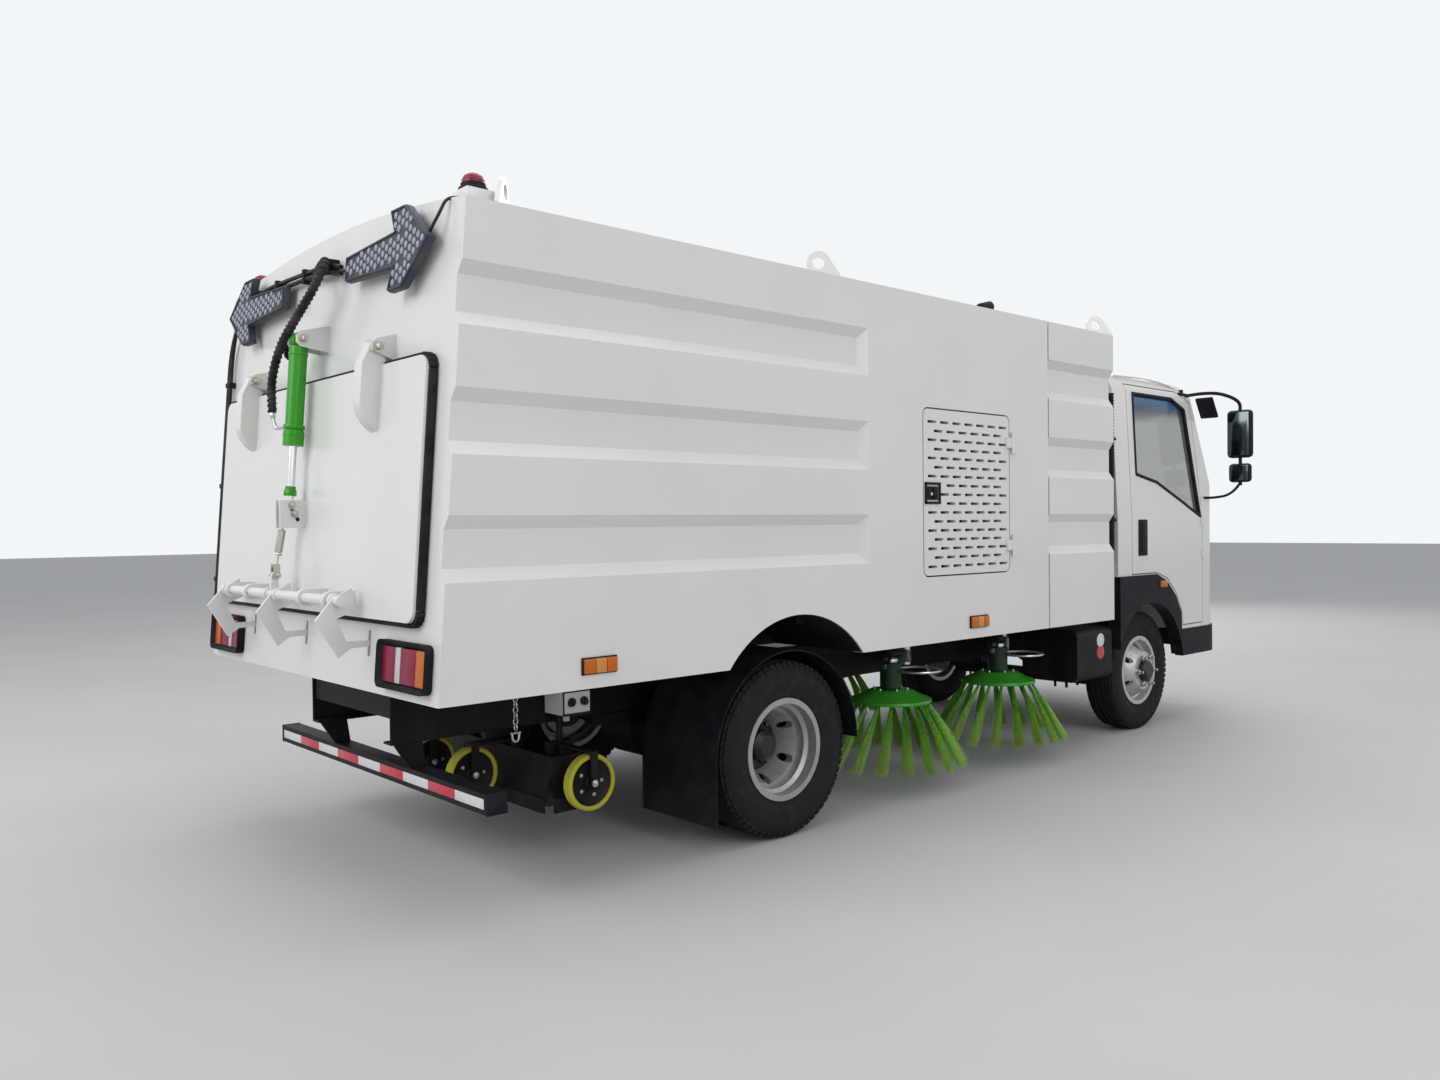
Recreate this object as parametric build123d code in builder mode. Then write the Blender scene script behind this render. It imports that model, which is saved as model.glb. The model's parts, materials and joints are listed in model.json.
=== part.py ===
from build123d import *
import os
from math import atan2, cos, degrees, radians, sin, sqrt

# Street sweeper truck, in millimetres. X points forward, Y to the vehicle's left, Z up.
# The origin is on the ground, in the middle of the overall length and width.

os.makedirs("parts", exist_ok=True)

# Layout along the vehicle
wheelbase = 3400
front_overhang = 1100
rear_reach = 1859
rear_axle_x = (rear_reach - wheelbase - front_overhang) / 2
front_axle_x = rear_axle_x + wheelbase

# Clearances
fit = 0.3
door_gap = 7
sides = (("left", 1), ("right", -1))

# Tyres and rims, the same at all six wheels
tyre_radius = 380
tyre_width = 200
tread_width = 150
shoulder_radius = 22
bead_width = 156
flange_radius = 220.5
seat_radius = 203
well_radius = 185
rim_width = 170
flange_thickness = 7
rim_skin = 7
disc_offset = 117.5
disc_thickness = 10
disc_outer_radius = 180
disc_flat_radius = 120
stud_circle_radius = 96
stud_radius = 10
stud_length = 34
stud_count = 6
hand_hole_radius = 19
hand_hole_circle = 148
axle_z = tyre_radius
rear_outer_wheel_y = 910
twin_spacing = 2 * disc_offset
front_wheel_y = 777

# Hubs, axles and steering
hub_radius = 68
hub_cap_radius = 46
rear_hub_reach = 100
front_hub_reach = 42
drum_radius = 155
drum_width = 90
spindle_radius = 30
rear_tube_radius = 58
differential_radius = 165
differential_width = 230
pinion_length = 200
kingpin_y = 650
kingpin_radius = 15
knuckle_eye_radius = 34
knuckle_eye_height = 70
knuckle_yoke_height = 26
backing_plate_radius = 158
backing_plate_thickness = 8
front_beam_drop = 55
front_beam_height = 70
front_beam_width = 80

# Frame
rail_outer_y = 375
rail_height = 200
rail_flange = 65
rail_web = 10
rail_bottom_z = 520
rail_top_z = rail_bottom_z + rail_height
rail_rear_x = rear_axle_x - 1500
rail_front_x = front_axle_x + 960
cross_height = 90
cross_length = 60
spring_y = rail_outer_y - rail_flange / 2
spring_width = 60
spring_thickness = 44
spring_half_length = 560

# Sweeper body: the box behind the cab
body_half_width = 1092
body_bottom_z = 769
body_side_top_z = 2428
roof_rise = 82
body_rear_x = rear_axle_x - 1676
body_rear_top_x = rear_axle_x - 1553
body_front_x = rear_axle_x + 1945
tank_rear_x = rear_axle_x + 1957
tank_front_x = rear_axle_x + 2655
body_wall = 60
floor_bottom_z = 972
floor_top_z = 1025
bulkhead_x = rear_axle_x + 455
bulkhead_thickness = 60
rib_depth = 30
rib_bevel = 45
rib_front_x = rear_axle_x + 454
rib_levels = ((2009, 2222), (1586, 1805), (1168, 1387))
arch_radius = 521
arch_centre_z = 444
arch_inner_y = 540
# Lifting lugs: X of the hole, and whether the plate points forward or back on its way inboard
lug_y = body_half_width - 72
lug_thickness = 16
lug_radius = 52
lug_hole_radius = 26
lug_hole_height = 60
lug_foot = 95
lug_foot_height = 8
lug_root = 12
body_lugs = ((rear_axle_x - 1370, 1), (rear_axle_x + 209, -1))
tank_lug = (rear_axle_x + 2580, -1)

# Side marker lamps
marker_xs = (rear_axle_x - 1045, rear_axle_x + 1290)
marker_z = 850
marker_length = 155
marker_height = 62
marker_depth = 18

# Vent doors over the auxiliary engine
vent_rear_x = rear_axle_x + 845
vent_front_x = rear_axle_x + 1575
vent_bottom_z = 1087
vent_top_z = 1897
vent_corner = 40
vent_thickness = 36
slot_length = 70
slot_width = 13
slot_column_pitch = 99
slot_row_pitch = 43.4
slot_rows = 17
slot_columns = 7
vent_hinge_zs = (1227, 1756)
vent_hinge_height = 110
vent_hinge_radius = 9
vent_pin_radius = 4
vent_hinge_x = rear_axle_x + 1592
vent_hinge_y = body_half_width + vent_hinge_radius + 1

# Tail door, on the sloping rear face
tail_opening_half_width = 915
tail_opening_bottom_z = 1072
tail_opening_top_z = 1880
tail_half_width = 963
tail_bottom_z = 1030
tail_top_z = 1920
tail_standoff = 12
tail_thickness = 31
tail_skin = 20
tail_corner = 45
tail_hinge_z = 1984
tail_hinge_out = 65
tail_hinge_ys = (-598, 598)
tail_arm_width = 60
tail_arm_out = 115
tail_arm_bottom_z = 1685
tail_pin_radius = 12
tail_eye_radius = 26

# Lock shaft with its hooks, on the tail door
lock_z = 1095
lock_out = 127
lock_radius = 19
lock_pin_radius = 9
lock_half_length = 600
lock_bearing_ys = (-500, -270, 290, 500)
hook_ys = (-562, 6, 574)
hook_thickness = 14
hook_tip_z = 940
slot_half_height = 48
slot_half_width = 10
lever_y = 38
lever_thickness = 16
link_pin_radius = 7
link_eye_radius = 14
link_rod_radius = 5.5
link_top_radius = 16
link_top_width = 12
turnbuckle_radius = 15
turnbuckle_length = 90
turnbuckle_start = 90

# Door cylinder
cylinder_y = 0
cylinder_top_z = 2087
cylinder_top_out = 100
barrel_radius = 34
barrel_length = 400
gland_radius = 39
rod_radius = 15
rod_end_z = 1440
cylinder_pin_radius = 12

# Rear lamps and bumper
tail_lamp_y = 868
tail_lamp_width = 354
tail_lamp_bottom_z = 801
tail_lamp_top_z = 966
tail_lamp_depth = 34
bumper_rear_x = rear_axle_x - 1418
bumper_half_width = 940
bumper_bottom_z = 345
bumper_top_z = 420
bumper_depth = 80
arrow_inner_y = 310
arrow_neck_y = 665
arrow_wing_y = 790
arrow_outer_y = 985
arrow_z = 2310
arrow_height = 290
arrow_neck_height = 124
arrow_end_height = 68
arrow_depth = 65
beacon_radius = 42
beacon_height = 70

# Suction nozzle behind the rear axle, raised for the road
nozzle_x = rear_axle_x - 770
nozzle_half_length = 150
nozzle_half_width = 560
nozzle_bottom_z = 215
nozzle_top_z = 400
nozzle_wall = 12
duct_radius = 105
duct_hole_half = duct_radius + 5
duct_wall = 6
duct_top_z = floor_top_z + 215
nozzle_wheel_radius = 115
nozzle_wheel_width = 50
nozzle_wheel_chamfer = 10
nozzle_wheel_z = 312
guide_y = 420
guide_reach = 80
guide_height = 90
guide_z_middle = 610
guide_rod_radius = 14
guide_rod_top_z = 870
nozzle_wheels = (
    # name, distance ahead of the rear axle, y
    ("front_left", -780, 650),
    ("front_right", -780, -650),
    ("rear_left", -1050, 180),
    ("rear_right", -1050, -180),
)

# Side brushes, two on each side between the axles
brush_disc_radius = 210
brush_disc_top_radius = 110
brush_disc_bottom_z = 435
brush_disc_height = 55
tuft_count = 18
tuft_top_circle = 178
tuft_tip_circle = 372
tuft_tip_z = 112
tuft_top_radius = 13
tuft_tip_radius = 26
brush_motor_radius = 55
brush_motor_height = 130
arm_pivot_y = 445
arm_pivot_ahead = 430
arm_pivot_z = 610
arm_height = 60
arm_width = 50
arm_pin_radius = 16
brush_y = 690
brushes = (
    # name, distance ahead of the rear axle
    ("rear", 1090),
    ("front", 2060),
)

# Cab
cab_half_width = 940
cab_roof_half_width = 893
cab_rear_x = rear_axle_x + 2990
cab_wall = 42
cab_bottom_z = 1000
cab_belt_z = 1350
cab_skirt_z = 620
cab_roof_z = 2290
cab_front_x = front_axle_x + 1060
cab_corner = 240
flare_radius = 505
cab_door_rear_x = rear_axle_x + 3172
cab_door_front_x = rear_axle_x + 4150
cab_door_top_z = 2205
glass_inset = 16
glass_thickness = 6
cab_hinge_zs = (1120, 1330)
cab_hinge_x = cab_door_front_x + 10
cab_hinge_height = 80
cab_hinge_radius = 9
cab_pin_radius = 4


def across(sign, y):
    return sign * y


def tail_x(z):
    """X of the sloping rear face at a height."""
    share = (z - body_bottom_z) / (body_side_top_z - body_bottom_z)
    return body_rear_x + share * (body_rear_top_x - body_rear_x)


tail_slope = degrees(atan2(body_rear_top_x - body_rear_x, body_side_top_z - body_bottom_z))
tail_normal = Vector(-cos(radians(tail_slope)), 0, sin(radians(tail_slope)))


def tail_plane(z, out=0):
    """Plane on the rear face at a height: local x runs to the vehicle's right, local y up the face."""
    origin = Vector(tail_x(z), 0, z) + tail_normal * out
    return Plane(origin=origin, x_dir=(0, -1, 0), z_dir=tail_normal)


def parted(solids, *planes):
    """Solids cut apart along planes, where real panels are welded together."""
    for plane in planes:
        halves = ShapeList()
        for solid in solids:
            for keep in (Keep.TOP, Keep.BOTTOM):
                cut = solid.split(plane, keep)
                for half in cut if isinstance(cut, list) else [cut]:
                    if half is not None:
                        halves += half.solids()
        solids = halves
    return solids


def axle_plane(x):
    """Plane across the vehicle through a wheel axis: local x is Y, local y is height above the axle."""
    return Plane(origin=(x, 0, axle_z), x_dir=(0, 1, 0), z_dir=(1, 0, 0))


def side_plane(y, x=0, z=0):
    """Plane facing the vehicle's right: local x is X, local y is Z."""
    return Plane(origin=(x, y, z), x_dir=(1, 0, 0), z_dir=(0, -1, 0))


def wheel_plane(x, y, sign):
    """Plane at a wheel's axle that faces away from the vehicle on one side."""
    return Plane(origin=(x, y, axle_z), x_dir=(1, 0, 0), z_dir=(0, sign, 0))


def lug_plane(x, way, sign):
    """Plane on one face of a lifting lug: local x points inboard and forward or back, local y up."""
    inboard = Vector(way, -sign, 0).normalized()
    face = inboard.cross(Vector(0, 0, 1))
    middle = Vector(x, across(sign, lug_y), body_side_top_z)
    return Plane(origin=middle - face * lug_thickness / 2, x_dir=inboard, z_dir=face)


def lug_outline():
    """Lug plate with a rounded top about its hole and a foot that slopes down outboard."""
    with BuildSketch() as outline:
        with BuildLine():
            Polyline(
                (-lug_foot, -lug_root), (-lug_foot, lug_foot_height),
                (-lug_radius * sin(radians(45)), lug_hole_height + lug_radius * cos(radians(45))),
                (lug_radius, lug_hole_height), (lug_radius, -lug_root), close=True,
            )
        make_face()
        with Locations((0, lug_hole_height)):
            Circle(lug_radius)
            Circle(lug_hole_radius, mode=Mode.SUBTRACT)
    return outline.sketch


def upright_plane(origin, normal):
    """Plane whose local x points up."""
    return Plane(origin=origin, x_dir=(0, 0, 1), z_dir=normal)


def spun_ring(x, points):
    """Ring about a wheel axis from its (y, radius) outline."""
    with BuildPart() as ring:
        with BuildSketch(axle_plane(x)):
            with BuildLine():
                Polyline(points, close=True)
            make_face()
        revolve(axis=Axis((x, 0, axle_z), (0, 1, 0)))
    return ring.part


def tyre(x, y):
    """Tyre about a wheel axis, centred at y; few runs, because the tread and side walls are dressed later."""
    half_profile = (
        # half width, radius
        (bead_width / 2, seat_radius + fit),
        (bead_width / 2, flange_radius + 1),
        (tyre_width / 2, (flange_radius + tyre_radius) / 2),
        (tread_width / 2 + shoulder_radius / 2, tyre_radius - shoulder_radius),
        (tread_width / 2, tyre_radius),
    )
    outline = [(y + width, radius) for width, radius in half_profile]
    outline += [(y - width, radius) for width, radius in reversed(half_profile)]
    return spun_ring(x, outline)


def rim(x, y, out):
    """Drop-centre rim whose disc is dished towards out, +1 or -1 along Y."""
    half = rim_width / 2
    lip = half - flange_thickness
    slope = 0.42 * half
    base = 0.3 * half
    barrel = (
        (-half, flange_radius), (-lip, flange_radius), (-lip, seat_radius), (-slope, seat_radius),
        (-base, well_radius), (base, well_radius), (slope, seat_radius), (lip, seat_radius),
        (lip, flange_radius), (half, flange_radius), (half, seat_radius - rim_skin),
        (slope, seat_radius - rim_skin), (base, well_radius - rim_skin),
        (-base, well_radius - rim_skin), (-slope, seat_radius - rim_skin), (-half, seat_radius - rim_skin),
    )
    face = disc_offset - disc_thickness
    disc = (
        (base - disc_thickness, well_radius - 1), (base, well_radius - 1),
        (disc_offset, disc_flat_radius), (disc_offset, 0), (face, 0),
        (face, disc_flat_radius - disc_thickness / 2), (base - disc_thickness, disc_outer_radius - 20),
    )
    barrel_points = [(y + out * a, r) for a, r in barrel]
    disc_points = [(y + out * a, r) for a, r in disc]
    with BuildPart() as whole:
        add(spun_ring(x, barrel_points))
        add(spun_ring(x, disc_points))
        with BuildSketch(Plane(origin=(x, y, axle_z), x_dir=(1, 0, 0), z_dir=(0, out, 0))):
            with PolarLocations(hand_hole_circle, stud_count, start_angle=30):
                Circle(hand_hole_radius)
        extrude(amount=disc_offset, mode=Mode.SUBTRACT)
    return whole.part


def body_section(inset=0):
    """Cross-section of the body, arched on top: x is across the vehicle, y is height."""
    half = body_half_width - inset
    top = body_side_top_z - inset
    with BuildSketch() as section:
        with BuildLine():
            Polyline((half, top), (half, body_bottom_z + inset), (-half, body_bottom_z + inset), (-half, top))
            ThreePointArc((-half, top), (0, top + roof_rise), (half, top))
        make_face()
    return section.sketch


def ribs(front_x, front_open):
    """The long recesses in both sides, for cutting: open to the rear, and to the front if asked."""
    rear_x = body_rear_x - 200
    end_x = front_x + 200 if front_open else front_x
    taper = degrees(atan2(rib_bevel, rib_depth))
    with BuildPart() as cut:
        for sign in (1, -1):
            plane = Plane(origin=(0, across(sign, body_half_width), 0), x_dir=(1, 0, 0), z_dir=(0, -sign, 0))
            with BuildSketch(plane):
                for low, high in rib_levels:
                    middle = (low + high) / 2
                    with Locations(((rear_x + end_x) / 2, sign * middle)):
                        Rectangle(end_x - rear_x, high - low)
            extrude(amount=rib_depth, taper=taper)
    return cut.part


# Frame rails: two channels, open towards each other
with BuildPart() as frame_rails:
    with BuildSketch(Plane.YZ.offset(rail_rear_x)):
        for sign in (1, -1):
            web_y = across(sign, rail_outer_y - rail_web / 2)
            flange_y = across(sign, rail_outer_y - rail_flange / 2)
            with Locations((web_y, rail_bottom_z + rail_height / 2)):
                Rectangle(rail_web, rail_height)
            with Locations(
                (flange_y, rail_bottom_z + rail_web / 2),
                (flange_y, rail_top_z - rail_web / 2),
            ):
                Rectangle(rail_flange, rail_web)
    extrude(amount=rail_front_x - rail_rear_x)
frame_rails.part.label = "frame_rails"
export_step(frame_rails.part, "parts/frame_rails.step")

# Crossmembers between the webs, and the arm brackets outside them
cross_xs = (
    rail_rear_x + 40,
    rear_axle_x - 600,
    rear_axle_x + 700,
    rear_axle_x + 1650,
    rear_axle_x + 2560,
    rail_front_x - 40,
)
inner_y = rail_outer_y - rail_web
with BuildPart() as frame_crossmembers:
    with Locations(*[(x, 0, rail_top_z - rail_web - cross_height / 2) for x in cross_xs]):
        Box(cross_length, 2 * inner_y, cross_height)
    for name, ahead in brushes:
        for sign in (1, -1):
            pivot = (rear_axle_x + ahead + arm_pivot_ahead, across(sign, arm_pivot_y))
            reach = arm_pivot_y - rail_outer_y
            for z in (arm_pivot_z - 60, arm_pivot_z + 60):
                with Locations((pivot[0], across(sign, rail_outer_y + reach / 2), z)):
                    Box(90, reach, 16)
                with Locations((pivot[0], pivot[1], z)):
                    Cylinder(30, 16)
            with Locations((pivot[0], pivot[1], arm_pivot_z)):
                Cylinder(arm_pin_radius, 136)
    for sign in (1, -1):
        with Locations((nozzle_x, across(sign, rail_outer_y + guide_reach / 2), guide_z_middle)):
            Box(70, guide_reach, guide_height)
        with Locations((nozzle_x, across(sign, guide_y), guide_z_middle)):
            Cylinder(guide_rod_radius + fit, guide_height, mode=Mode.SUBTRACT)
frame_crossmembers.part.label = "frame_crossmembers"
export_step(frame_crossmembers.part, "parts/frame_crossmembers.step")

# Rear axle: tubes, the differential housing and the spindles for the hubs
rear_spindle_y = rear_outer_wheel_y - disc_offset + 40
drum_inner_y = rear_outer_wheel_y - disc_offset - disc_thickness - drum_width - 40
with BuildPart() as rear_axle:
    with BuildSketch(axle_plane(rear_axle_x)):
        with BuildLine():
            Polyline(
                (0, 0), (rear_spindle_y, 0), (rear_spindle_y, spindle_radius),
                (drum_inner_y - 1, spindle_radius), (drum_inner_y - 1, rear_tube_radius),
                (differential_width, rear_tube_radius), (differential_width / 2, differential_radius),
                (0, differential_radius), close=True,
            )
        make_face()
    revolve(axis=Axis((rear_axle_x, 0, axle_z), (0, 1, 0)))
    mirror(about=Plane.XZ)
    with BuildSketch(Plane.YZ.offset(rear_axle_x)):
        with Locations((0, axle_z)):
            Circle(70)
    extrude(amount=pinion_length, taper=6)
rear_axle.part.label = "rear_axle"
export_step(rear_axle.part, "parts/rear_axle.step")

# Front axle: a dropped beam with an eye at each end for the kingpin
beam_low = axle_z - front_beam_drop - front_beam_height
with BuildPart() as front_axle:
    with BuildSketch(Plane.YZ.offset(front_axle_x - front_beam_width / 2)):
        with BuildLine():
            Polyline(
                (kingpin_y, axle_z + knuckle_eye_height / 2 - 5), (480, beam_low + front_beam_height),
                (-480, beam_low + front_beam_height), (-kingpin_y, axle_z + knuckle_eye_height / 2 - 5),
                (-kingpin_y, axle_z - knuckle_eye_height / 2 + 5), (-500, beam_low),
                (500, beam_low), (kingpin_y, axle_z - knuckle_eye_height / 2 + 5), close=True,
            )
        make_face()
    extrude(amount=front_beam_width)
    for sign in (1, -1):
        with Locations((front_axle_x, across(sign, kingpin_y), axle_z)):
            Box(
                front_beam_width + 40, 2 * knuckle_eye_radius + 16, 2 * knuckle_eye_height,
                mode=Mode.SUBTRACT,
            )
        with Locations((front_axle_x, across(sign, kingpin_y), axle_z)):
            Cylinder(knuckle_eye_radius, knuckle_eye_height)
        with Locations((front_axle_x, across(sign, kingpin_y - knuckle_eye_radius - 6), axle_z)):
            Box(46, 30, knuckle_eye_height - 14)
        with Locations((front_axle_x, across(sign, kingpin_y), axle_z)):
            Cylinder(kingpin_radius + fit, 2 * knuckle_eye_height, mode=Mode.SUBTRACT)
front_axle.part.label = "front_axle"
export_step(front_axle.part, "parts/front_axle.step")

# Leaf springs, arched from the axle up to the rails
with BuildPart() as leaf_springs:
    for x, seat_z in (
        (rear_axle_x, axle_z + rear_tube_radius),
        (front_axle_x, beam_low + front_beam_height),
    ):
        low = seat_z
        high = rail_bottom_z - spring_thickness
        for sign in (1, -1):
            with BuildSketch(side_plane(across(sign, spring_y) + spring_width / 2)):
                with BuildLine():
                    ThreePointArc((x - spring_half_length, high), (x, low), (x + spring_half_length, high))
                    Line(
                        (x + spring_half_length, high),
                        (x + spring_half_length, high + spring_thickness),
                    )
                    ThreePointArc(
                        (x + spring_half_length, high + spring_thickness),
                        (x, low + spring_thickness + 30),
                        (x - spring_half_length, high + spring_thickness),
                    )
                    Line(
                        (x - spring_half_length, high + spring_thickness),
                        (x - spring_half_length, high),
                    )
                make_face()
            extrude(amount=spring_width)
leaf_springs.part.label = "leaf_springs"
export_step(leaf_springs.part, "parts/leaf_springs.step")

# Engine, gearbox and propeller shaft, and the auxiliary engine on the body floor
engine_rear_x = front_axle_x - 330
engine_front_x = front_axle_x + 420
gearbox_rear_x = front_axle_x - 760
shaft_front = Vector(gearbox_rear_x, 0, 560)
shaft_rear = Vector(rear_axle_x + pinion_length + fit, 0, axle_z)
shaft_flange = 22
with BuildPart() as engine_blocks:
    with BuildSketch(Plane.YZ.offset(engine_rear_x)):
        with Locations((0, 690)):
            RectangleRounded(520, 500, 40)
    extrude(amount=engine_front_x - engine_rear_x)
    with BuildSketch(Plane.YZ.offset(gearbox_rear_x)):
        with Locations((0, 590)):
            RectangleRounded(270, 250, 60)
    extrude(amount=engine_rear_x - gearbox_rear_x)
    with BuildSketch(Plane.YZ.offset(shaft_rear.X)):
        with Locations((0, axle_z)):
            Circle(45)
    extrude(amount=shaft_flange)
    shaft_start = shaft_rear + Vector(shaft_flange - 4, 0, 0)
    shaft_way = shaft_front - shaft_start
    with BuildSketch(Plane(origin=shaft_start, z_dir=shaft_way)):
        Circle(38)
    extrude(amount=shaft_way.length)
    mount_reach = rail_outer_y - rail_web - fit
    for x in (engine_rear_x + 120, engine_front_x - 120):
        with Locations((x, 0, rail_bottom_z + 50)):
            Box(80, 2 * mount_reach, 50)
    with BuildSketch(Plane.XY.offset(floor_top_z)):
        with Locations((rear_axle_x + 1210, 0)):
            RectangleRounded(760, 900, 60)
    extrude(amount=720)
engine_blocks.part.label = "engine_blocks"
export_step(engine_blocks.part, "parts/engine_blocks.step")

# Tanks and boxes hung outside the rails
box_rear_x = rear_axle_x + 2520
box_front_x = rear_axle_x + 2925
control_box_height = 90
control_box_depth = 120
control_box_y = 18 + control_box_depth / 2 - body_half_width
with BuildPart() as chassis_boxes:
    for sign in (1, -1):
        with BuildSketch(Plane.YZ.offset(box_rear_x)):
            with Locations((across(sign, 745), 545)):
                RectangleRounded(370, 310, 50)
        extrude(amount=box_front_x - box_rear_x)
        for x in (box_rear_x + 90, box_front_x - 90):
            with Locations((x, across(sign, (rail_outer_y + 570) / 2), 640)):
                Box(40, 570 - rail_outer_y, 60)
    with Locations((rear_axle_x - 1129, control_box_y, body_bottom_z - fit - control_box_height / 2)):
        Box(118, control_box_depth, control_box_height)
        with Locations((-30, -control_box_depth / 2 - 6, 0), (30, -control_box_depth / 2 - 6, 0)):
            Cylinder(12, 14, rotation=(90, 0, 0))
chassis_boxes.part.label = "chassis_boxes"
export_step(chassis_boxes.part, "parts/chassis_boxes.step")

def body_cavity():
    """The hopper and, past a bulkhead, the engine bay: everything inside the body above its floor."""
    rear = Plane(
        origin=Vector(tail_x(body_bottom_z), 0, body_bottom_z) - tail_normal * body_wall,
        x_dir=(0, 1, 0),
        z_dir=tail_normal,
    )
    with BuildPart() as cavity:
        with BuildSketch(Plane.YZ.offset(body_rear_x - 50)):
            add(body_section(body_wall))
        extrude(amount=body_front_x - body_wall - body_rear_x + 50)
        split(bisect_by=rear, keep=Keep.BOTTOM)
        with Locations((body_rear_x, 0, floor_top_z - 500)):
            Box(9000, 3000, 1000, mode=Mode.SUBTRACT)
        with Locations((bulkhead_x + bulkhead_thickness / 2, 0, floor_top_z + 1000)):
            Box(bulkhead_thickness, 3000, 2000, mode=Mode.SUBTRACT)
    return cavity.part


# Body shell: hopper at the rear, engine bay ahead of it, skirts below
rear_cut = Plane(origin=(tail_x(body_bottom_z), 0, body_bottom_z), x_dir=(0, 1, 0), z_dir=tail_normal)
with BuildPart() as hopper_body:
    with BuildSketch(Plane.YZ.offset(body_rear_x - 50)):
        add(body_section())
    extrude(amount=body_front_x - body_rear_x + 50)
    split(bisect_by=rear_cut, keep=Keep.BOTTOM)
    add(body_cavity(), mode=Mode.SUBTRACT)
    # the skirts are open below
    skirt_inner_x = tail_x(body_bottom_z) + 1.6 * body_wall
    skirt_length = body_front_x - body_wall - skirt_inner_x
    with Locations((skirt_inner_x + skirt_length / 2, 0, (body_bottom_z + floor_bottom_z) / 2 - 10)):
        Box(
            skirt_length, 2 * (body_half_width - body_wall), floor_bottom_z - body_bottom_z + 20,
            mode=Mode.SUBTRACT,
        )
    add(ribs(rib_front_x, False), mode=Mode.SUBTRACT)
    # wheel arches
    for sign in (1, -1):
        start_y = across(sign, arch_inner_y)
        plane = Plane(origin=(rear_axle_x, start_y, arch_centre_z), x_dir=(1, 0, 0), z_dir=(0, sign, 0))
        with BuildSketch(plane):
            Circle(arch_radius)
        extrude(amount=body_half_width, mode=Mode.SUBTRACT)
    # tail opening, and the slots that take the hooks
    tail_mid_z = (tail_opening_bottom_z + tail_opening_top_z) / 2
    with BuildSketch(tail_plane(tail_mid_z, 10)):
        Rectangle(
            2 * tail_opening_half_width,
            (tail_opening_top_z - tail_opening_bottom_z) / cos(radians(tail_slope)),
        )
    extrude(amount=-body_wall - 30, mode=Mode.SUBTRACT)
    with BuildSketch(tail_plane(hook_tip_z, 10)):
        with Locations(*[(-y, 0) for y in hook_ys]):
            SlotOverall(2 * slot_half_height, 2 * slot_half_width, rotation=90)
    extrude(amount=-body_wall - 30, mode=Mode.SUBTRACT)
    # vent openings in both sides
    with BuildSketch(side_plane(body_half_width + 20)):
        with Locations(((vent_rear_x + vent_front_x) / 2, (vent_bottom_z + vent_top_z) / 2)):
            RectangleRounded(vent_front_x - vent_rear_x, vent_top_z - vent_bottom_z, vent_corner)
    extrude(amount=2 * body_half_width + 40, mode=Mode.SUBTRACT)
    # duct hole in the floor
    with BuildSketch(Plane.XY.offset(floor_bottom_z - 10)):
        with Locations((nozzle_x, 0)):
            Rectangle(2 * duct_hole_half, 2 * duct_hole_half)
    extrude(amount=floor_top_z - floor_bottom_z + 20, mode=Mode.SUBTRACT)
    # lifting lugs
    for x, way in body_lugs:
        for sign in (1, -1):
            with BuildSketch(lug_plane(x, way, sign)):
                add(lug_outline())
            extrude(amount=lug_thickness)
    # subframe bearers between the rails and the floor
    for x0, x1 in (
        (rear_axle_x - 1450, nozzle_x - 200),
        (nozzle_x + 200, body_front_x - body_wall),
    ):
        for sign in (1, -1):
            y = across(sign, rail_outer_y - 40)
            with Locations(((x0 + x1) / 2, y, (rail_top_z + floor_bottom_z) / 2)):
                Box(x1 - x0, 60, floor_bottom_z - rail_top_z)
    # fixed hinge halves of the vent doors
    for sign in (1, -1):
        for z in vent_hinge_zs:
            with Locations((vent_hinge_x, across(sign, vent_hinge_y), z)):
                Cylinder(vent_pin_radius, vent_hinge_height)
            for end in (-1, 1):
                zc = z + end * vent_hinge_height * 3 / 8
                with Locations((vent_hinge_x, across(sign, vent_hinge_y), zc)):
                    Cylinder(vent_hinge_radius, vent_hinge_height / 4)
                with Locations((vent_hinge_x + 18, across(sign, body_half_width + 3), zc)):
                    Box(36, 6, vent_hinge_height / 4)
    # brackets for the tail door's hinge pins and the door cylinder
    for y in tail_hinge_ys:
        for end in (-1, 1):
            with BuildSketch(side_plane(y + end * (tail_arm_width / 2 + 7) + 6)):
                px = tail_x(tail_hinge_z) - tail_hinge_out
                with BuildLine():
                    Polyline(
                        (tail_x(tail_hinge_z + 52) + 5, tail_hinge_z + 52),
                        (px - 4, tail_hinge_z + 30),
                        (px - 22, tail_hinge_z + 12),
                        (px - 22, tail_hinge_z - 12),
                        (tail_x(tail_hinge_z - 46) + 5, tail_hinge_z - 46),
                        close=True,
                    )
                make_face()
            extrude(amount=12)
        with BuildSketch(side_plane(y + tail_arm_width / 2 + 10, px, tail_hinge_z)):
            Circle(tail_pin_radius)
        extrude(amount=tail_arm_width + 20)
    top_px = tail_x(cylinder_top_z) - cylinder_top_out
    for end in (-1, 1):
        plate_y = cylinder_y + end * (barrel_radius + 8) + 5
        with BuildSketch(side_plane(plate_y)):
            with BuildLine():
                Polyline(
                    (tail_x(cylinder_top_z + 62) + 5, cylinder_top_z + 62),
                    (top_px - 12, cylinder_top_z + 30),
                    (top_px - 28, cylinder_top_z + 14),
                    (top_px - 28, cylinder_top_z - 14),
                    (top_px - 12, cylinder_top_z - 30),
                    (tail_x(cylinder_top_z - 46) + 5, cylinder_top_z - 46),
                    close=True,
                )
            make_face()
        extrude(amount=10)
    with BuildSketch(side_plane(cylinder_y + barrel_radius + 10, top_px, cylinder_top_z)):
        Circle(cylinder_pin_radius)
    extrude(amount=2 * (barrel_radius + 10))

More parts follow.
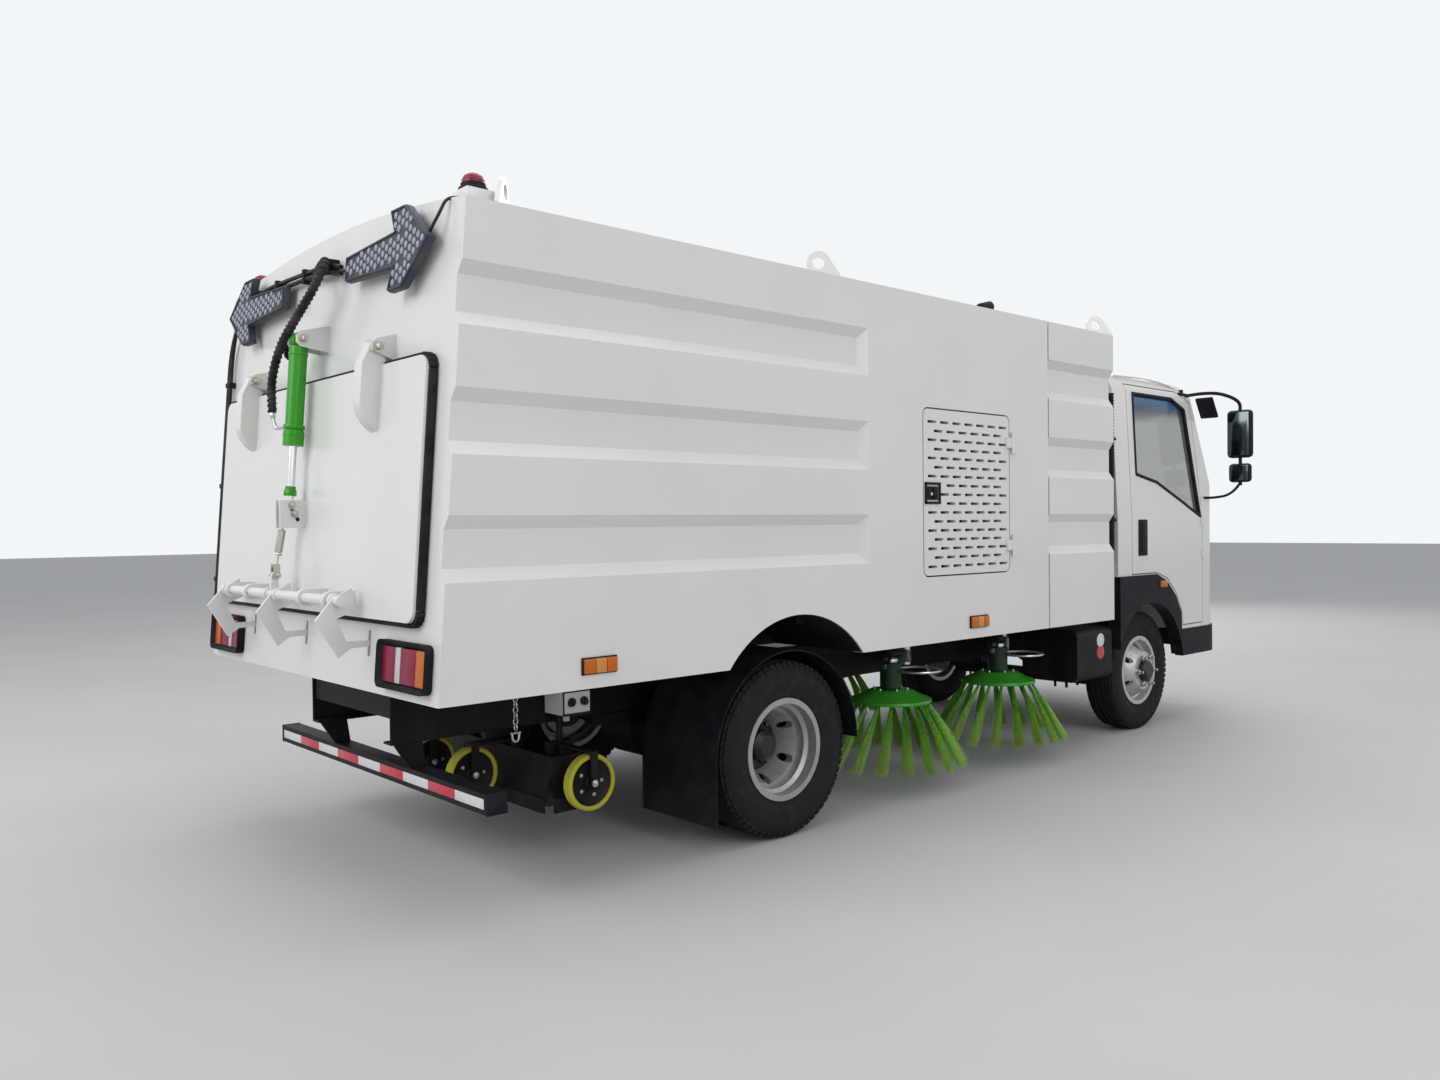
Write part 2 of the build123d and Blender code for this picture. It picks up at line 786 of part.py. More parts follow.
# The shell's panels: side walls, tail frame, front wall, roofs and bulkhead, floor and bearers
wall_inner_y = body_half_width - body_wall
rear_inner = Plane(origin=rear_cut.origin - tail_normal * body_wall, z_dir=tail_normal)
opening_edges = [
    Plane(origin=tail_plane(z).origin, z_dir=tail_plane(z).y_dir)
    for z in (tail_opening_bottom_z, tail_opening_top_z)
]
right_wall, middle, left_wall = parted(
    hopper_body.part.solids(),
    Plane.XZ.offset(wall_inner_y),
    Plane.XZ.offset(-wall_inner_y),
).sort_by(Axis.Y)
side_walls = parted([right_wall, left_wall], Plane.YZ.offset(bulkhead_x + bulkhead_thickness / 2))
tail_frame, inside = parted([middle], rear_inner).sort_by(Axis.X)
shell, front_wall = parted([inside], Plane.YZ.offset(body_front_x - body_wall)).sort_by(Axis.X)
below, above = parted([shell], Plane.XY.offset(floor_top_z)).sort_by(Axis.Z)
panels = ShapeList([front_wall])
panels += side_walls
panels += parted([tail_frame], *opening_edges)
panels += parted([above], Plane.YZ.offset(bulkhead_x), Plane.YZ.offset(bulkhead_x + bulkhead_thickness))
panels += parted(
    [below],
    Plane.XY.offset(floor_bottom_z),
    Plane.YZ.offset(nozzle_x - duct_hole_half),
    Plane.YZ.offset(nozzle_x + duct_hole_half),
)
hopper_body.part = Part(panels)
hopper_body.part.label = "hopper_body"
export_step(hopper_body.part, "parts/hopper_body.step")

# Water tank module between the body and the cab
with BuildPart() as water_tank:
    with BuildSketch(Plane.YZ.offset(tank_rear_x)):
        add(body_section())
    extrude(amount=tank_front_x - tank_rear_x)
    add(ribs(tank_front_x, True), mode=Mode.SUBTRACT)
    for sign in (1, -1):
        with BuildSketch(lug_plane(*tank_lug, sign)):
            add(lug_outline())
        extrude(amount=lug_thickness)
    for sign in (1, -1):
        foot_y = across(sign, rail_outer_y - 40)
        with Locations(((tank_rear_x + tank_front_x) / 2, foot_y, (rail_top_z + body_bottom_z) / 2)):
            Box(tank_front_x - tank_rear_x - 80, 60, body_bottom_z - rail_top_z)
water_tank.part.label = "water_tank"
export_step(water_tank.part, "parts/water_tank.step")

# Vent doors, slotted, hung on their front edges
for side, sign in sides:
    outer_y = across(sign, body_half_width)
    with BuildPart() as vent_door:
        with BuildSketch(side_plane(outer_y)):
            with Locations(((vent_rear_x + vent_front_x) / 2, (vent_bottom_z + vent_top_z) / 2)):
                RectangleRounded(
                    vent_front_x - vent_rear_x - 2 * door_gap,
                    vent_top_z - vent_bottom_z - 2 * door_gap,
                    vent_corner - door_gap,
                )
        extrude(amount=sign * vent_thickness)
        with BuildSketch(side_plane(outer_y)):
            for row in range(slot_rows):
                z = vent_top_z - 67 - row * slot_row_pitch
                shift = slot_column_pitch / 2 * (row % 2)
                count = slot_columns - row % 2
                first = 1 if row in (7, 8, 9) else 0
                for column in range(first, count):
                    with Locations((vent_rear_x + 74 + shift + column * slot_column_pitch, z)):
                        SlotOverall(slot_length, slot_width)
        extrude(amount=sign * vent_thickness, mode=Mode.SUBTRACT)
        for z in vent_hinge_zs:
            knuckle_y = across(sign, vent_hinge_y)
            half = vent_hinge_height / 4 - fit
            leaf = vent_hinge_x - (vent_front_x - door_gap) + 24
            with Locations((vent_hinge_x, knuckle_y, z)):
                Cylinder(vent_hinge_radius, 2 * half)
            with Locations((vent_hinge_x - leaf / 2, across(sign, vent_hinge_y - 3), z)):
                Box(leaf, 6, 2 * half)
            strap_y = across(sign, body_half_width + vent_hinge_radius / 2)
            with Locations((vent_front_x - door_gap - 18, strap_y, z)):
                Box(24, vent_hinge_radius, 2 * half)
            with Locations((vent_hinge_x, knuckle_y, z)):
                Cylinder(vent_pin_radius + fit, vent_hinge_height, mode=Mode.SUBTRACT)
    vent_door.part.label = f"vent_door_{side}"
    export_step(vent_door.part, f"parts/vent_door_{side}.step")

# Tail door: a pressed panel with hinge arms, ribs, lock bearings and the cylinder's guide block
tail_z = (tail_bottom_z + tail_top_z) / 2
tail_height = (tail_top_z - tail_bottom_z) / cos(radians(tail_slope))
hinge_x = tail_x(tail_hinge_z) - tail_hinge_out
lock_x = tail_x(lock_z) - lock_out
tail_face = tail_standoff + tail_thickness
tail_rim = 35
tail_recess_half_width = tail_opening_half_width - 10
guide_z = 1406
guide_length = 107
guide_offset = 22
guide_thickness = 10
guide_plate_height = 108


def outside(out, z):
    """Point in the side view: a distance out from the rear face, at a height."""
    return (tail_x(z) - out, z)


with BuildPart() as tail_door:
    with BuildSketch(tail_plane(tail_z, tail_standoff)):
        RectangleRounded(2 * tail_half_width, tail_height, tail_corner)
    extrude(amount=tail_thickness)
    with BuildSketch(tail_plane(tail_z, tail_standoff)):
        Rectangle(2 * tail_recess_half_width, tail_height - 2 * tail_rim)
    extrude(amount=tail_thickness - tail_skin, mode=Mode.SUBTRACT)
    # hinge arms: fins with rounded feet
    for y in tail_hinge_ys:
        with BuildSketch(side_plane(y + tail_arm_width / 2)):
            with BuildLine():
                Polyline(
                    outside(tail_arm_out, tail_arm_bottom_z + 105),
                    outside(tail_arm_out, tail_top_z + 5),
                    (hinge_x - tail_eye_radius, tail_hinge_z),
                    (hinge_x + tail_eye_radius - 8, tail_hinge_z),
                    outside(2 * tail_standoff, tail_top_z + tail_standoff),
                    outside(tail_face - 6, tail_top_z - 20),
                    outside(tail_face - 6, tail_arm_bottom_z),
                )
                ThreePointArc(
                    outside(tail_face - 6, tail_arm_bottom_z),
                    outside(tail_arm_out - 30, tail_arm_bottom_z + 37),
                    outside(tail_arm_out, tail_arm_bottom_z + 105),
                )
            make_face()
        extrude(amount=tail_arm_width)
        with BuildSketch(side_plane(y + tail_arm_width / 2, hinge_x, tail_hinge_z)):
            Circle(tail_eye_radius)
        extrude(amount=tail_arm_width)
        with BuildSketch(side_plane(y + tail_arm_width / 2, hinge_x, tail_hinge_z)):
            Circle(tail_pin_radius + fit)
        extrude(amount=tail_arm_width, mode=Mode.SUBTRACT)
    # lock shaft bearings
    for y in lock_bearing_ys:
        with Locations(((lock_x + tail_x(lock_z) - tail_face + 8) / 2, y, lock_z)):
            Box(lock_out - tail_face + 8, 24, 2 * lock_radius + 24)
        with BuildSketch(side_plane(y + 12, lock_x, lock_z)):
            Circle(lock_radius + 12)
        extrude(amount=24)
    with BuildSketch(side_plane(lock_half_length + 60, lock_x, lock_z)):
        Circle(lock_radius + fit)
    extrude(amount=2 * lock_half_length + 120, mode=Mode.SUBTRACT)
    # guide block for the rod's end
    guide_x = tail_x(guide_z) - tail_face - guide_length / 2 + 6
    for end in (-1, 1):
        with Locations((guide_x, cylinder_y + end * guide_offset, guide_z)):
            Box(guide_length, guide_thickness, guide_plate_height)

# The door's skin carries the arms; four bars make its rim
skin_plane = tail_plane(tail_z, tail_face - tail_skin)
door_skin, door_rim = parted(tail_door.part.solids(), skin_plane).sort_by(Axis.X)
bars = parted(
    [door_rim],
    Plane.XZ.offset(tail_recess_half_width),
    Plane.XZ.offset(-tail_recess_half_width),
)
tail_door.part = Part([door_skin] + bars)
tail_door.part.label = "tail_door"
export_step(tail_door.part, "parts/tail_door.step")

# Lock shaft with three hooks and the lever
lever_reach = Vector(5, 0, 73)
lever_angle = degrees(atan2(lever_reach.Z, lever_reach.X))
link_pin = Vector(lock_x, lever_y, lock_z) + lever_reach
with BuildPart() as lock_shaft:
    with BuildSketch(side_plane(lock_half_length, lock_x, lock_z)):
        Circle(lock_radius)
    extrude(amount=2 * lock_half_length)
    # Z-shaped hooks: out from the rear face, height
    hook_outline = (
        (79, 1140), (60, 1060), (130, 1032), (86, 950), (-30, 950),
        (-30, 930), (70, 926), (112, 895), (202, 1030), (150, 1100),
    )
    for y in hook_ys:
        with BuildSketch(side_plane(y + hook_thickness / 2)):
            with BuildLine():
                Polyline([outside(out, z) for out, z in hook_outline], close=True)
            make_face()
        extrude(amount=hook_thickness)
    with BuildSketch(side_plane(lever_y + lever_thickness / 2, lock_x, lock_z)):
        with Locations((lever_reach.X / 2, lever_reach.Z / 2)):
            SlotCenterToCenter(lever_reach.length, 2 * link_eye_radius, rotation=lever_angle)
    extrude(amount=lever_thickness)
    with BuildSketch(side_plane(lever_y + lever_thickness, link_pin.X, link_pin.Z)):
        Circle(link_pin_radius + fit)
    extrude(amount=2 * lever_thickness, mode=Mode.SUBTRACT)
lock_shaft.part.label = "lock_shaft"
export_step(lock_shaft.part, "parts/lock_shaft.step")

# Link from the lever up to the guide block
link_top = Vector(tail_x(guide_z) - 104, lever_y, guide_z - 6)
link_way = link_top - link_pin
link_plane = Plane(origin=link_pin, x_dir=(0, 1, 0), z_dir=link_way)
with BuildPart() as lock_link:
    for end in (-1, 1):
        plate_y = lever_y + end * (lever_thickness / 2 + 6) + 4
        with BuildSketch(side_plane(plate_y, link_pin.X, link_pin.Z)):
            Circle(link_eye_radius)
            with Locations((4, 22)):
                Rectangle(24, 44)
        extrude(amount=8)
    with Locations(link_pin + Vector(4, 0, 38)):
        Box(24, lever_thickness + 20, 12)
    with BuildSketch(side_plane(lever_y + lever_thickness / 2 + 12, link_pin.X, link_pin.Z)):
        Circle(link_pin_radius)
    extrude(amount=lever_thickness + 24)
    with BuildSketch(link_plane.offset(36)):
        Circle(link_rod_radius)
    extrude(amount=link_way.length - 36)
    with BuildSketch(link_plane.offset(turnbuckle_start)):
        RegularPolygon(turnbuckle_radius, 6)
    extrude(amount=turnbuckle_length)
    with BuildSketch(side_plane(link_top.Y + link_top_width / 2, link_top.X, link_top.Z)):
        Circle(link_top_radius)
    extrude(amount=link_top_width)
lock_link.part.label = "lock_link"
export_step(lock_link.part, "parts/lock_link.step")

# Door cylinder: barrel on the body's bracket, rod reaching to the guide block
top_px = tail_x(cylinder_top_z) - cylinder_top_out
rod_px = tail_x(rod_end_z) - cylinder_top_out
cylinder_way = Vector(rod_px - top_px, 0, rod_end_z - cylinder_top_z)
cylinder_reach = cylinder_way.length
top_pin = Vector(top_px, cylinder_y, cylinder_top_z)
cylinder_unit = cylinder_way.normalized()
cylinder_plane = Plane(origin=top_pin, x_dir=(0, 1, 0), z_dir=cylinder_unit)
with BuildPart() as cylinder_barrel:
    with BuildSketch(cylinder_plane.offset(26)):
        Circle(barrel_radius)
    extrude(amount=barrel_length - 60)
    with BuildSketch(cylinder_plane.offset(barrel_length - 44)):
        Circle(gland_radius)
    extrude(amount=60)
    with BuildSketch(side_plane(cylinder_y + 20, top_px, cylinder_top_z)):
        Circle(30)
    extrude(amount=40)
    with BuildSketch(side_plane(cylinder_y + 30, top_px, cylinder_top_z)):
        Circle(cylinder_pin_radius + fit)
    extrude(amount=60, mode=Mode.SUBTRACT)
    with BuildSketch(cylinder_plane.offset(110)):
        Circle(rod_radius + fit)
    extrude(amount=barrel_length, mode=Mode.SUBTRACT)
cylinder_barrel.part.label = "cylinder_barrel"
export_step(cylinder_barrel.part, "parts/cylinder_barrel.step")

with BuildPart() as cylinder_rod:
    rod_start = cylinder_reach - 320
    with BuildSketch(cylinder_plane.offset(rod_start)):
        Circle(rod_radius)
    extrude(amount=cylinder_reach - rod_start)
    with BuildSketch(side_plane(cylinder_y + 14, rod_px, rod_end_z)):
        Circle(20)
    extrude(amount=28)
cylinder_rod.part.label = "cylinder_rod"
export_step(cylinder_rod.part, "parts/cylinder_rod.step")

# Lamps at the rear
with BuildPart() as tail_lamps:
    lamp_z = (tail_lamp_bottom_z + tail_lamp_top_z) / 2
    with BuildSketch(tail_plane(lamp_z, fit)):
        with Locations((tail_lamp_y, 0), (-tail_lamp_y, 0)):
            RectangleRounded(tail_lamp_width, tail_lamp_top_z - tail_lamp_bottom_z, 22)
    extrude(amount=tail_lamp_depth)
tail_lamps.part.label = "tail_lamps"
export_step(tail_lamps.part, "parts/tail_lamps.step")

beacon_x = body_rear_top_x + 90
with BuildPart() as warning_lamps:
    # each board: a bar that widens to a head whose wings sweep back
    upper_edge = (
        (arrow_inner_y, arrow_end_height / 2),
        (arrow_neck_y, arrow_neck_height / 2),
        (arrow_neck_y + 25, arrow_height / 2),
        (arrow_wing_y, arrow_height / 2),
        (arrow_outer_y, 0),
    )
    for sign in (1, -1):
        outline = [(sign * y, z) for y, z in upper_edge]
        outline += [(sign * y, -z) for y, z in reversed(upper_edge[:-1])]
        with BuildSketch(tail_plane(arrow_z, fit)):
            with BuildLine():
                Polyline(outline, close=True)
            make_face()
        extrude(amount=arrow_depth)
    for sign in (1, -1):
        y = across(sign, body_half_width - 110)
        base_z = body_side_top_z + 14
        with Locations((beacon_x, y, base_z + 13)):
            Box(110, 110, 46)
        with Locations((beacon_x, y, base_z + 36 + 10)):
            Cylinder(beacon_radius + 8, 20)
        with BuildSketch(Plane.XY.offset(base_z + 56)):
            with Locations((beacon_x, y)):
                Circle(beacon_radius)
        extrude(amount=beacon_height, taper=8)
    with BuildSketch(Plane.YZ.offset(beacon_x - 60)):
        add(body_section(-fit))
    extrude(amount=120, mode=Mode.SUBTRACT)
warning_lamps.part.label = "warning_lamps"
export_step(warning_lamps.part, "parts/warning_lamps.step")

with BuildPart() as marker_lamps:
    for x in marker_xs:
        for sign in (1, -1):
            with Locations((x, across(sign, body_half_width + marker_depth / 2), marker_z)):
                Box(marker_length, marker_depth - 2 * fit, marker_height)
marker_lamps.part.label = "marker_lamps"
export_step(marker_lamps.part, "parts/marker_lamps.step")

# Underrun bar with its brackets
with BuildPart() as rear_bumper:
    with Locations((bumper_rear_x + bumper_depth / 2, 0, (bumper_bottom_z + bumper_top_z) / 2)):
        Box(bumper_depth, 2 * bumper_half_width, bumper_top_z - bumper_bottom_z)
    for sign in (1, -1):
        with BuildSketch(side_plane(across(sign, rail_outer_y - 25) + 6)):
            with BuildLine():
                Polyline(
                    (bumper_rear_x + 6, bumper_top_z - 4),
                    (bumper_rear_x + bumper_depth - 6, bumper_top_z - 4),
                    (rail_rear_x + 140, rail_bottom_z), (rail_rear_x + 20, rail_bottom_z), close=True,
                )
            make_face()
        extrude(amount=12)
rear_bumper.part.label = "rear_bumper"
export_step(rear_bumper.part, "parts/rear_bumper.step")

# Mudguards over the twin wheels, and the flaps
guard_radius = tyre_radius + 45
with BuildPart() as mudguards:
    for sign in (1, -1):
        start_y = across(sign, arch_inner_y + 10)
        plane = Plane(origin=(rear_axle_x, start_y, axle_z), x_dir=(1, 0, 0), z_dir=(0, sign, 0))
        width = rear_outer_wheel_y + tyre_width / 2 + 20 - (arch_inner_y + 10)
        with BuildSketch(plane):
            Circle(guard_radius + 5)
            Circle(guard_radius, mode=Mode.SUBTRACT)
            with Locations((0, sign * guard_radius)):
                Rectangle(3 * guard_radius, 2 * guard_radius, mode=Mode.SUBTRACT)
        extrude(amount=width)
        with Locations(
            (rear_axle_x - guard_radius - 2.5, start_y + across(sign, width / 2), axle_z - 125),
        ):
            Box(5, width, 260)
        for x in (rear_axle_x - 300, rear_axle_x + 300):
            with Locations((x, across(sign, (rail_outer_y + arch_inner_y + 20) / 2), 655)):
                Box(30, arch_inner_y + 20 - rail_outer_y, 30)
    # wide flares under the cab over the front wheels
    flare_low_z = 450
    opening = tyre_radius + 60
    for sign in (1, -1):
        with BuildSketch(side_plane(across(sign, cab_half_width - 70))):
            with BuildLine():
                Polyline(
                    (cab_rear_x + 5, cab_bottom_z - fit), (front_axle_x + 82, cab_bottom_z - fit),
                    (front_axle_x + 220, 946), (front_axle_x + 338, 852),
                    (front_axle_x + flare_radius - 88, 734), (front_axle_x + flare_radius - 70, flare_low_z),
                    (cab_rear_x + 5, flare_low_z), close=True,
                )
            make_face()
            with Locations((front_axle_x, axle_z)):
                Circle(opening, mode=Mode.SUBTRACT)
            with Locations((front_axle_x, axle_z - opening)):
                Rectangle(2 * opening, 2 * opening, mode=Mode.SUBTRACT)
        extrude(amount=-sign * 82)
mudguards.part.label = "mudguards"
export_step(mudguards.part, "parts/mudguards.step")

# Wheels on the rear axle: twin tyres, twin rims back to back with hub and drum
disc_plane_y = rear_outer_wheel_y - disc_offset
for side, sign in sides:
    with BuildPart() as rear_tyres:
        add(tyre(rear_axle_x, across(sign, rear_outer_wheel_y)))
        add(tyre(rear_axle_x, across(sign, rear_outer_wheel_y - twin_spacing)))
    rear_tyres.part.label = f"rear_tyres_{side}"
    export_step(rear_tyres.part, f"parts/rear_tyres_{side}.step")

    with BuildPart() as rear_rims:
        add(rim(rear_axle_x, across(sign, rear_outer_wheel_y), -sign))
        add(rim(rear_axle_x, across(sign, rear_outer_wheel_y - twin_spacing), sign))
        hub = (
            (drum_inner_y, 0), (drum_inner_y, drum_radius), (drum_inner_y + drum_width, drum_radius),
            (drum_inner_y + drum_width, hub_radius), (disc_plane_y + rear_hub_reach - 20, hub_radius),
            (disc_plane_y + rear_hub_reach, hub_cap_radius), (disc_plane_y + rear_hub_reach, 0),
        )
        add(spun_ring(rear_axle_x, [(across(sign, y), r) for y, r in hub]))
        bore = ((drum_inner_y - 5, 0), (drum_inner_y - 5, spindle_radius + fit),
                (rear_spindle_y + 1, spindle_radius + fit), (rear_spindle_y + 1, 0))
        add(spun_ring(rear_axle_x, [(across(sign, y), r) for y, r in bore]), mode=Mode.SUBTRACT)
        with BuildSketch(wheel_plane(rear_axle_x, across(sign, disc_plane_y), sign)):
            with PolarLocations(stud_circle_radius, stud_count):
                RegularPolygon(stud_radius, 6)
        extrude(amount=stud_length + disc_thickness)
    rear_rims.part.label = f"rear_rims_{side}"
    export_step(rear_rims.part, f"parts/rear_rims_{side}.step")

# Steered wheels: knuckle, rim with hub and drum, tyre
for side, sign in sides:
    pin_y = across(sign, kingpin_y)
    with BuildPart() as knuckle:
        with Locations((front_axle_x, pin_y, axle_z)):
            Cylinder(kingpin_radius, knuckle_eye_height + 2 * knuckle_yoke_height)
        for end in (-1, 1):
            z = axle_z + end * (knuckle_eye_height / 2 + fit + knuckle_yoke_height / 2)
            with Locations((front_axle_x, pin_y, z)):
                Cylinder(knuckle_eye_radius, knuckle_yoke_height)
            with Locations((front_axle_x, pin_y + across(sign, knuckle_eye_radius - 6), z)):
                Box(56, 2 * knuckle_eye_radius, knuckle_yoke_height)
        with Locations((front_axle_x, pin_y + across(sign, knuckle_eye_radius + 8 + 8), axle_z)):
            Box(56, 20, knuckle_eye_height + 2 * knuckle_yoke_height)
        plate_y = pin_y + across(sign, knuckle_eye_radius + 20)
        with BuildSketch(wheel_plane(front_axle_x, plate_y, sign)):
            Circle(backing_plate_radius)
        extrude(amount=backing_plate_thickness)
        with BuildSketch(wheel_plane(front_axle_x, plate_y, sign)):
            Circle(spindle_radius)
        extrude(amount=front_wheel_y + disc_offset - 10 - kingpin_y - knuckle_eye_radius - 20)
    knuckle.part.label = f"knuckle_{side}"
    export_step(knuckle.part, f"parts/knuckle_{side}.step")

    with BuildPart() as front_rim:
        add(rim(front_axle_x, across(sign, front_wheel_y), sign))
        drum_in = kingpin_y + knuckle_eye_radius + 20 + backing_plate_thickness + 5
        face = front_wheel_y + disc_offset
        hub = (
            (drum_in, 0), (drum_in, drum_radius), (drum_in + drum_width, drum_radius),
            (drum_in + drum_width, hub_radius), (face + front_hub_reach - 16, hub_radius),
            (face + front_hub_reach, hub_cap_radius), (face + front_hub_reach, 0),
        )
        add(spun_ring(front_axle_x, [(across(sign, y), r) for y, r in hub]))
        bore = ((drum_in - 5, 0), (drum_in - 5, spindle_radius + fit),
                (face - 9, spindle_radius + fit), (face - 9, 0))
        add(spun_ring(front_axle_x, [(across(sign, y), r) for y, r in bore]), mode=Mode.SUBTRACT)
        with BuildSketch(wheel_plane(front_axle_x, across(sign, face - disc_thickness), sign)):
            with PolarLocations(stud_circle_radius, stud_count):
                RegularPolygon(stud_radius, 6)
        extrude(amount=stud_length + disc_thickness)
    front_rim.part.label = f"front_rim_{side}"
    export_step(front_rim.part, f"parts/front_rim_{side}.step")

    with BuildPart() as front_tyre:
        add(tyre(front_axle_x, across(sign, front_wheel_y)))
    front_tyre.part.label = f"front_tyre_{side}"
    export_step(front_tyre.part, f"parts/front_tyre_{side}.step")

# Suction nozzle: an open hood with its duct up into the hopper and forks for its wheels
fork_offset = nozzle_wheel_width / 2 + 9
fork_rise = nozzle_wheel_radius + 9
with BuildPart() as suction_nozzle:
    with BuildSketch(Plane.XY.offset(nozzle_bottom_z)):
        with Locations((nozzle_x, 0)):
            RectangleRounded(2 * nozzle_half_length, 2 * nozzle_half_width, 40)
    extrude(amount=nozzle_top_z - nozzle_bottom_z, taper=18)
    with BuildSketch(Plane.XY.offset(nozzle_bottom_z)):
        with Locations((nozzle_x, 0)):
            inside = (2 * (nozzle_half_length - nozzle_wall), 2 * (nozzle_half_width - nozzle_wall))
            RectangleRounded(*inside, 30)
    extrude(amount=nozzle_top_z - nozzle_bottom_z - nozzle_wall, taper=18, mode=Mode.SUBTRACT)
    with BuildSketch(Plane.XY.offset(nozzle_top_z - nozzle_wall)):
        with Locations((nozzle_x, 0)):
            Circle(duct_radius)
    extrude(amount=duct_top_z - nozzle_top_z + nozzle_wall)
    with BuildSketch(Plane.XY.offset(nozzle_top_z - nozzle_wall - 5)):
        with Locations((nozzle_x, 0)):
            Circle(duct_radius - duct_wall)
    extrude(amount=duct_top_z - nozzle_top_z + nozzle_wall + 20, mode=Mode.SUBTRACT)
    for name, ahead, y in nozzle_wheels:
        wheel_x = rear_axle_x + ahead
        for end in (-1, 1):
            with BuildSketch(side_plane(y + end * fork_offset + 4, wheel_x, nozzle_wheel_z)):
                Circle(20)
                with Locations((0, fork_rise / 2)):
                    Rectangle(34, fork_rise)
            extrude(amount=8)
        post_x = min(max(wheel_x, nozzle_x - 60), nozzle_x + 60)
        post_y = min(max(y, -470), 470)
        plate_z = nozzle_wheel_z + fork_rise
        plate_x = abs(wheel_x - post_x) + 34
        plate_y = abs(y - post_y) + 2 * fork_offset + 8
        with Locations(((wheel_x + post_x) / 2, (y + post_y) / 2, plate_z)):
            Box(plate_x, plate_y, 10)
        with Locations((post_x, post_y, (plate_z + nozzle_top_z) / 2 - 4)):
            Box(40, 40, plate_z - nozzle_top_z + 10)
        with BuildSketch(side_plane(y + fork_offset, wheel_x, nozzle_wheel_z)):
            Circle(9)
        extrude(amount=2 * fork_offset)
    # ears over the hood, with the rods that rise through the guides on the frame
    for y in (-guide_y, guide_y):
        with Locations((nozzle_x, y, nozzle_top_z + 22)):
            Box(120, 40, 50)
        with BuildSketch(Plane.XY.offset(nozzle_top_z + 40)):
            with Locations((nozzle_x, y)):
                Circle(guide_rod_radius)
        extrude(amount=guide_rod_top_z - nozzle_top_z - 40)
suction_nozzle.part.label = "suction_nozzle"
export_step(suction_nozzle.part, "parts/suction_nozzle.step")

for name, ahead, y in nozzle_wheels:
    with BuildPart() as nozzle_wheel:
        wheel_x = rear_axle_x + ahead
        with BuildSketch(side_plane(y + nozzle_wheel_width / 2, wheel_x, nozzle_wheel_z)):
            Circle(nozzle_wheel_radius)
            Circle(9 + fit, mode=Mode.SUBTRACT)
        extrude(amount=nozzle_wheel_width)
        rims = nozzle_wheel.edges().filter_by(GeomType.CIRCLE).group_by(SortBy.RADIUS)[-1]
        chamfer(rims, nozzle_wheel_chamfer)
    nozzle_wheel.part.label = f"nozzle_wheel_{name}"
    export_step(nozzle_wheel.part, f"parts/nozzle_wheel_{name}.step")

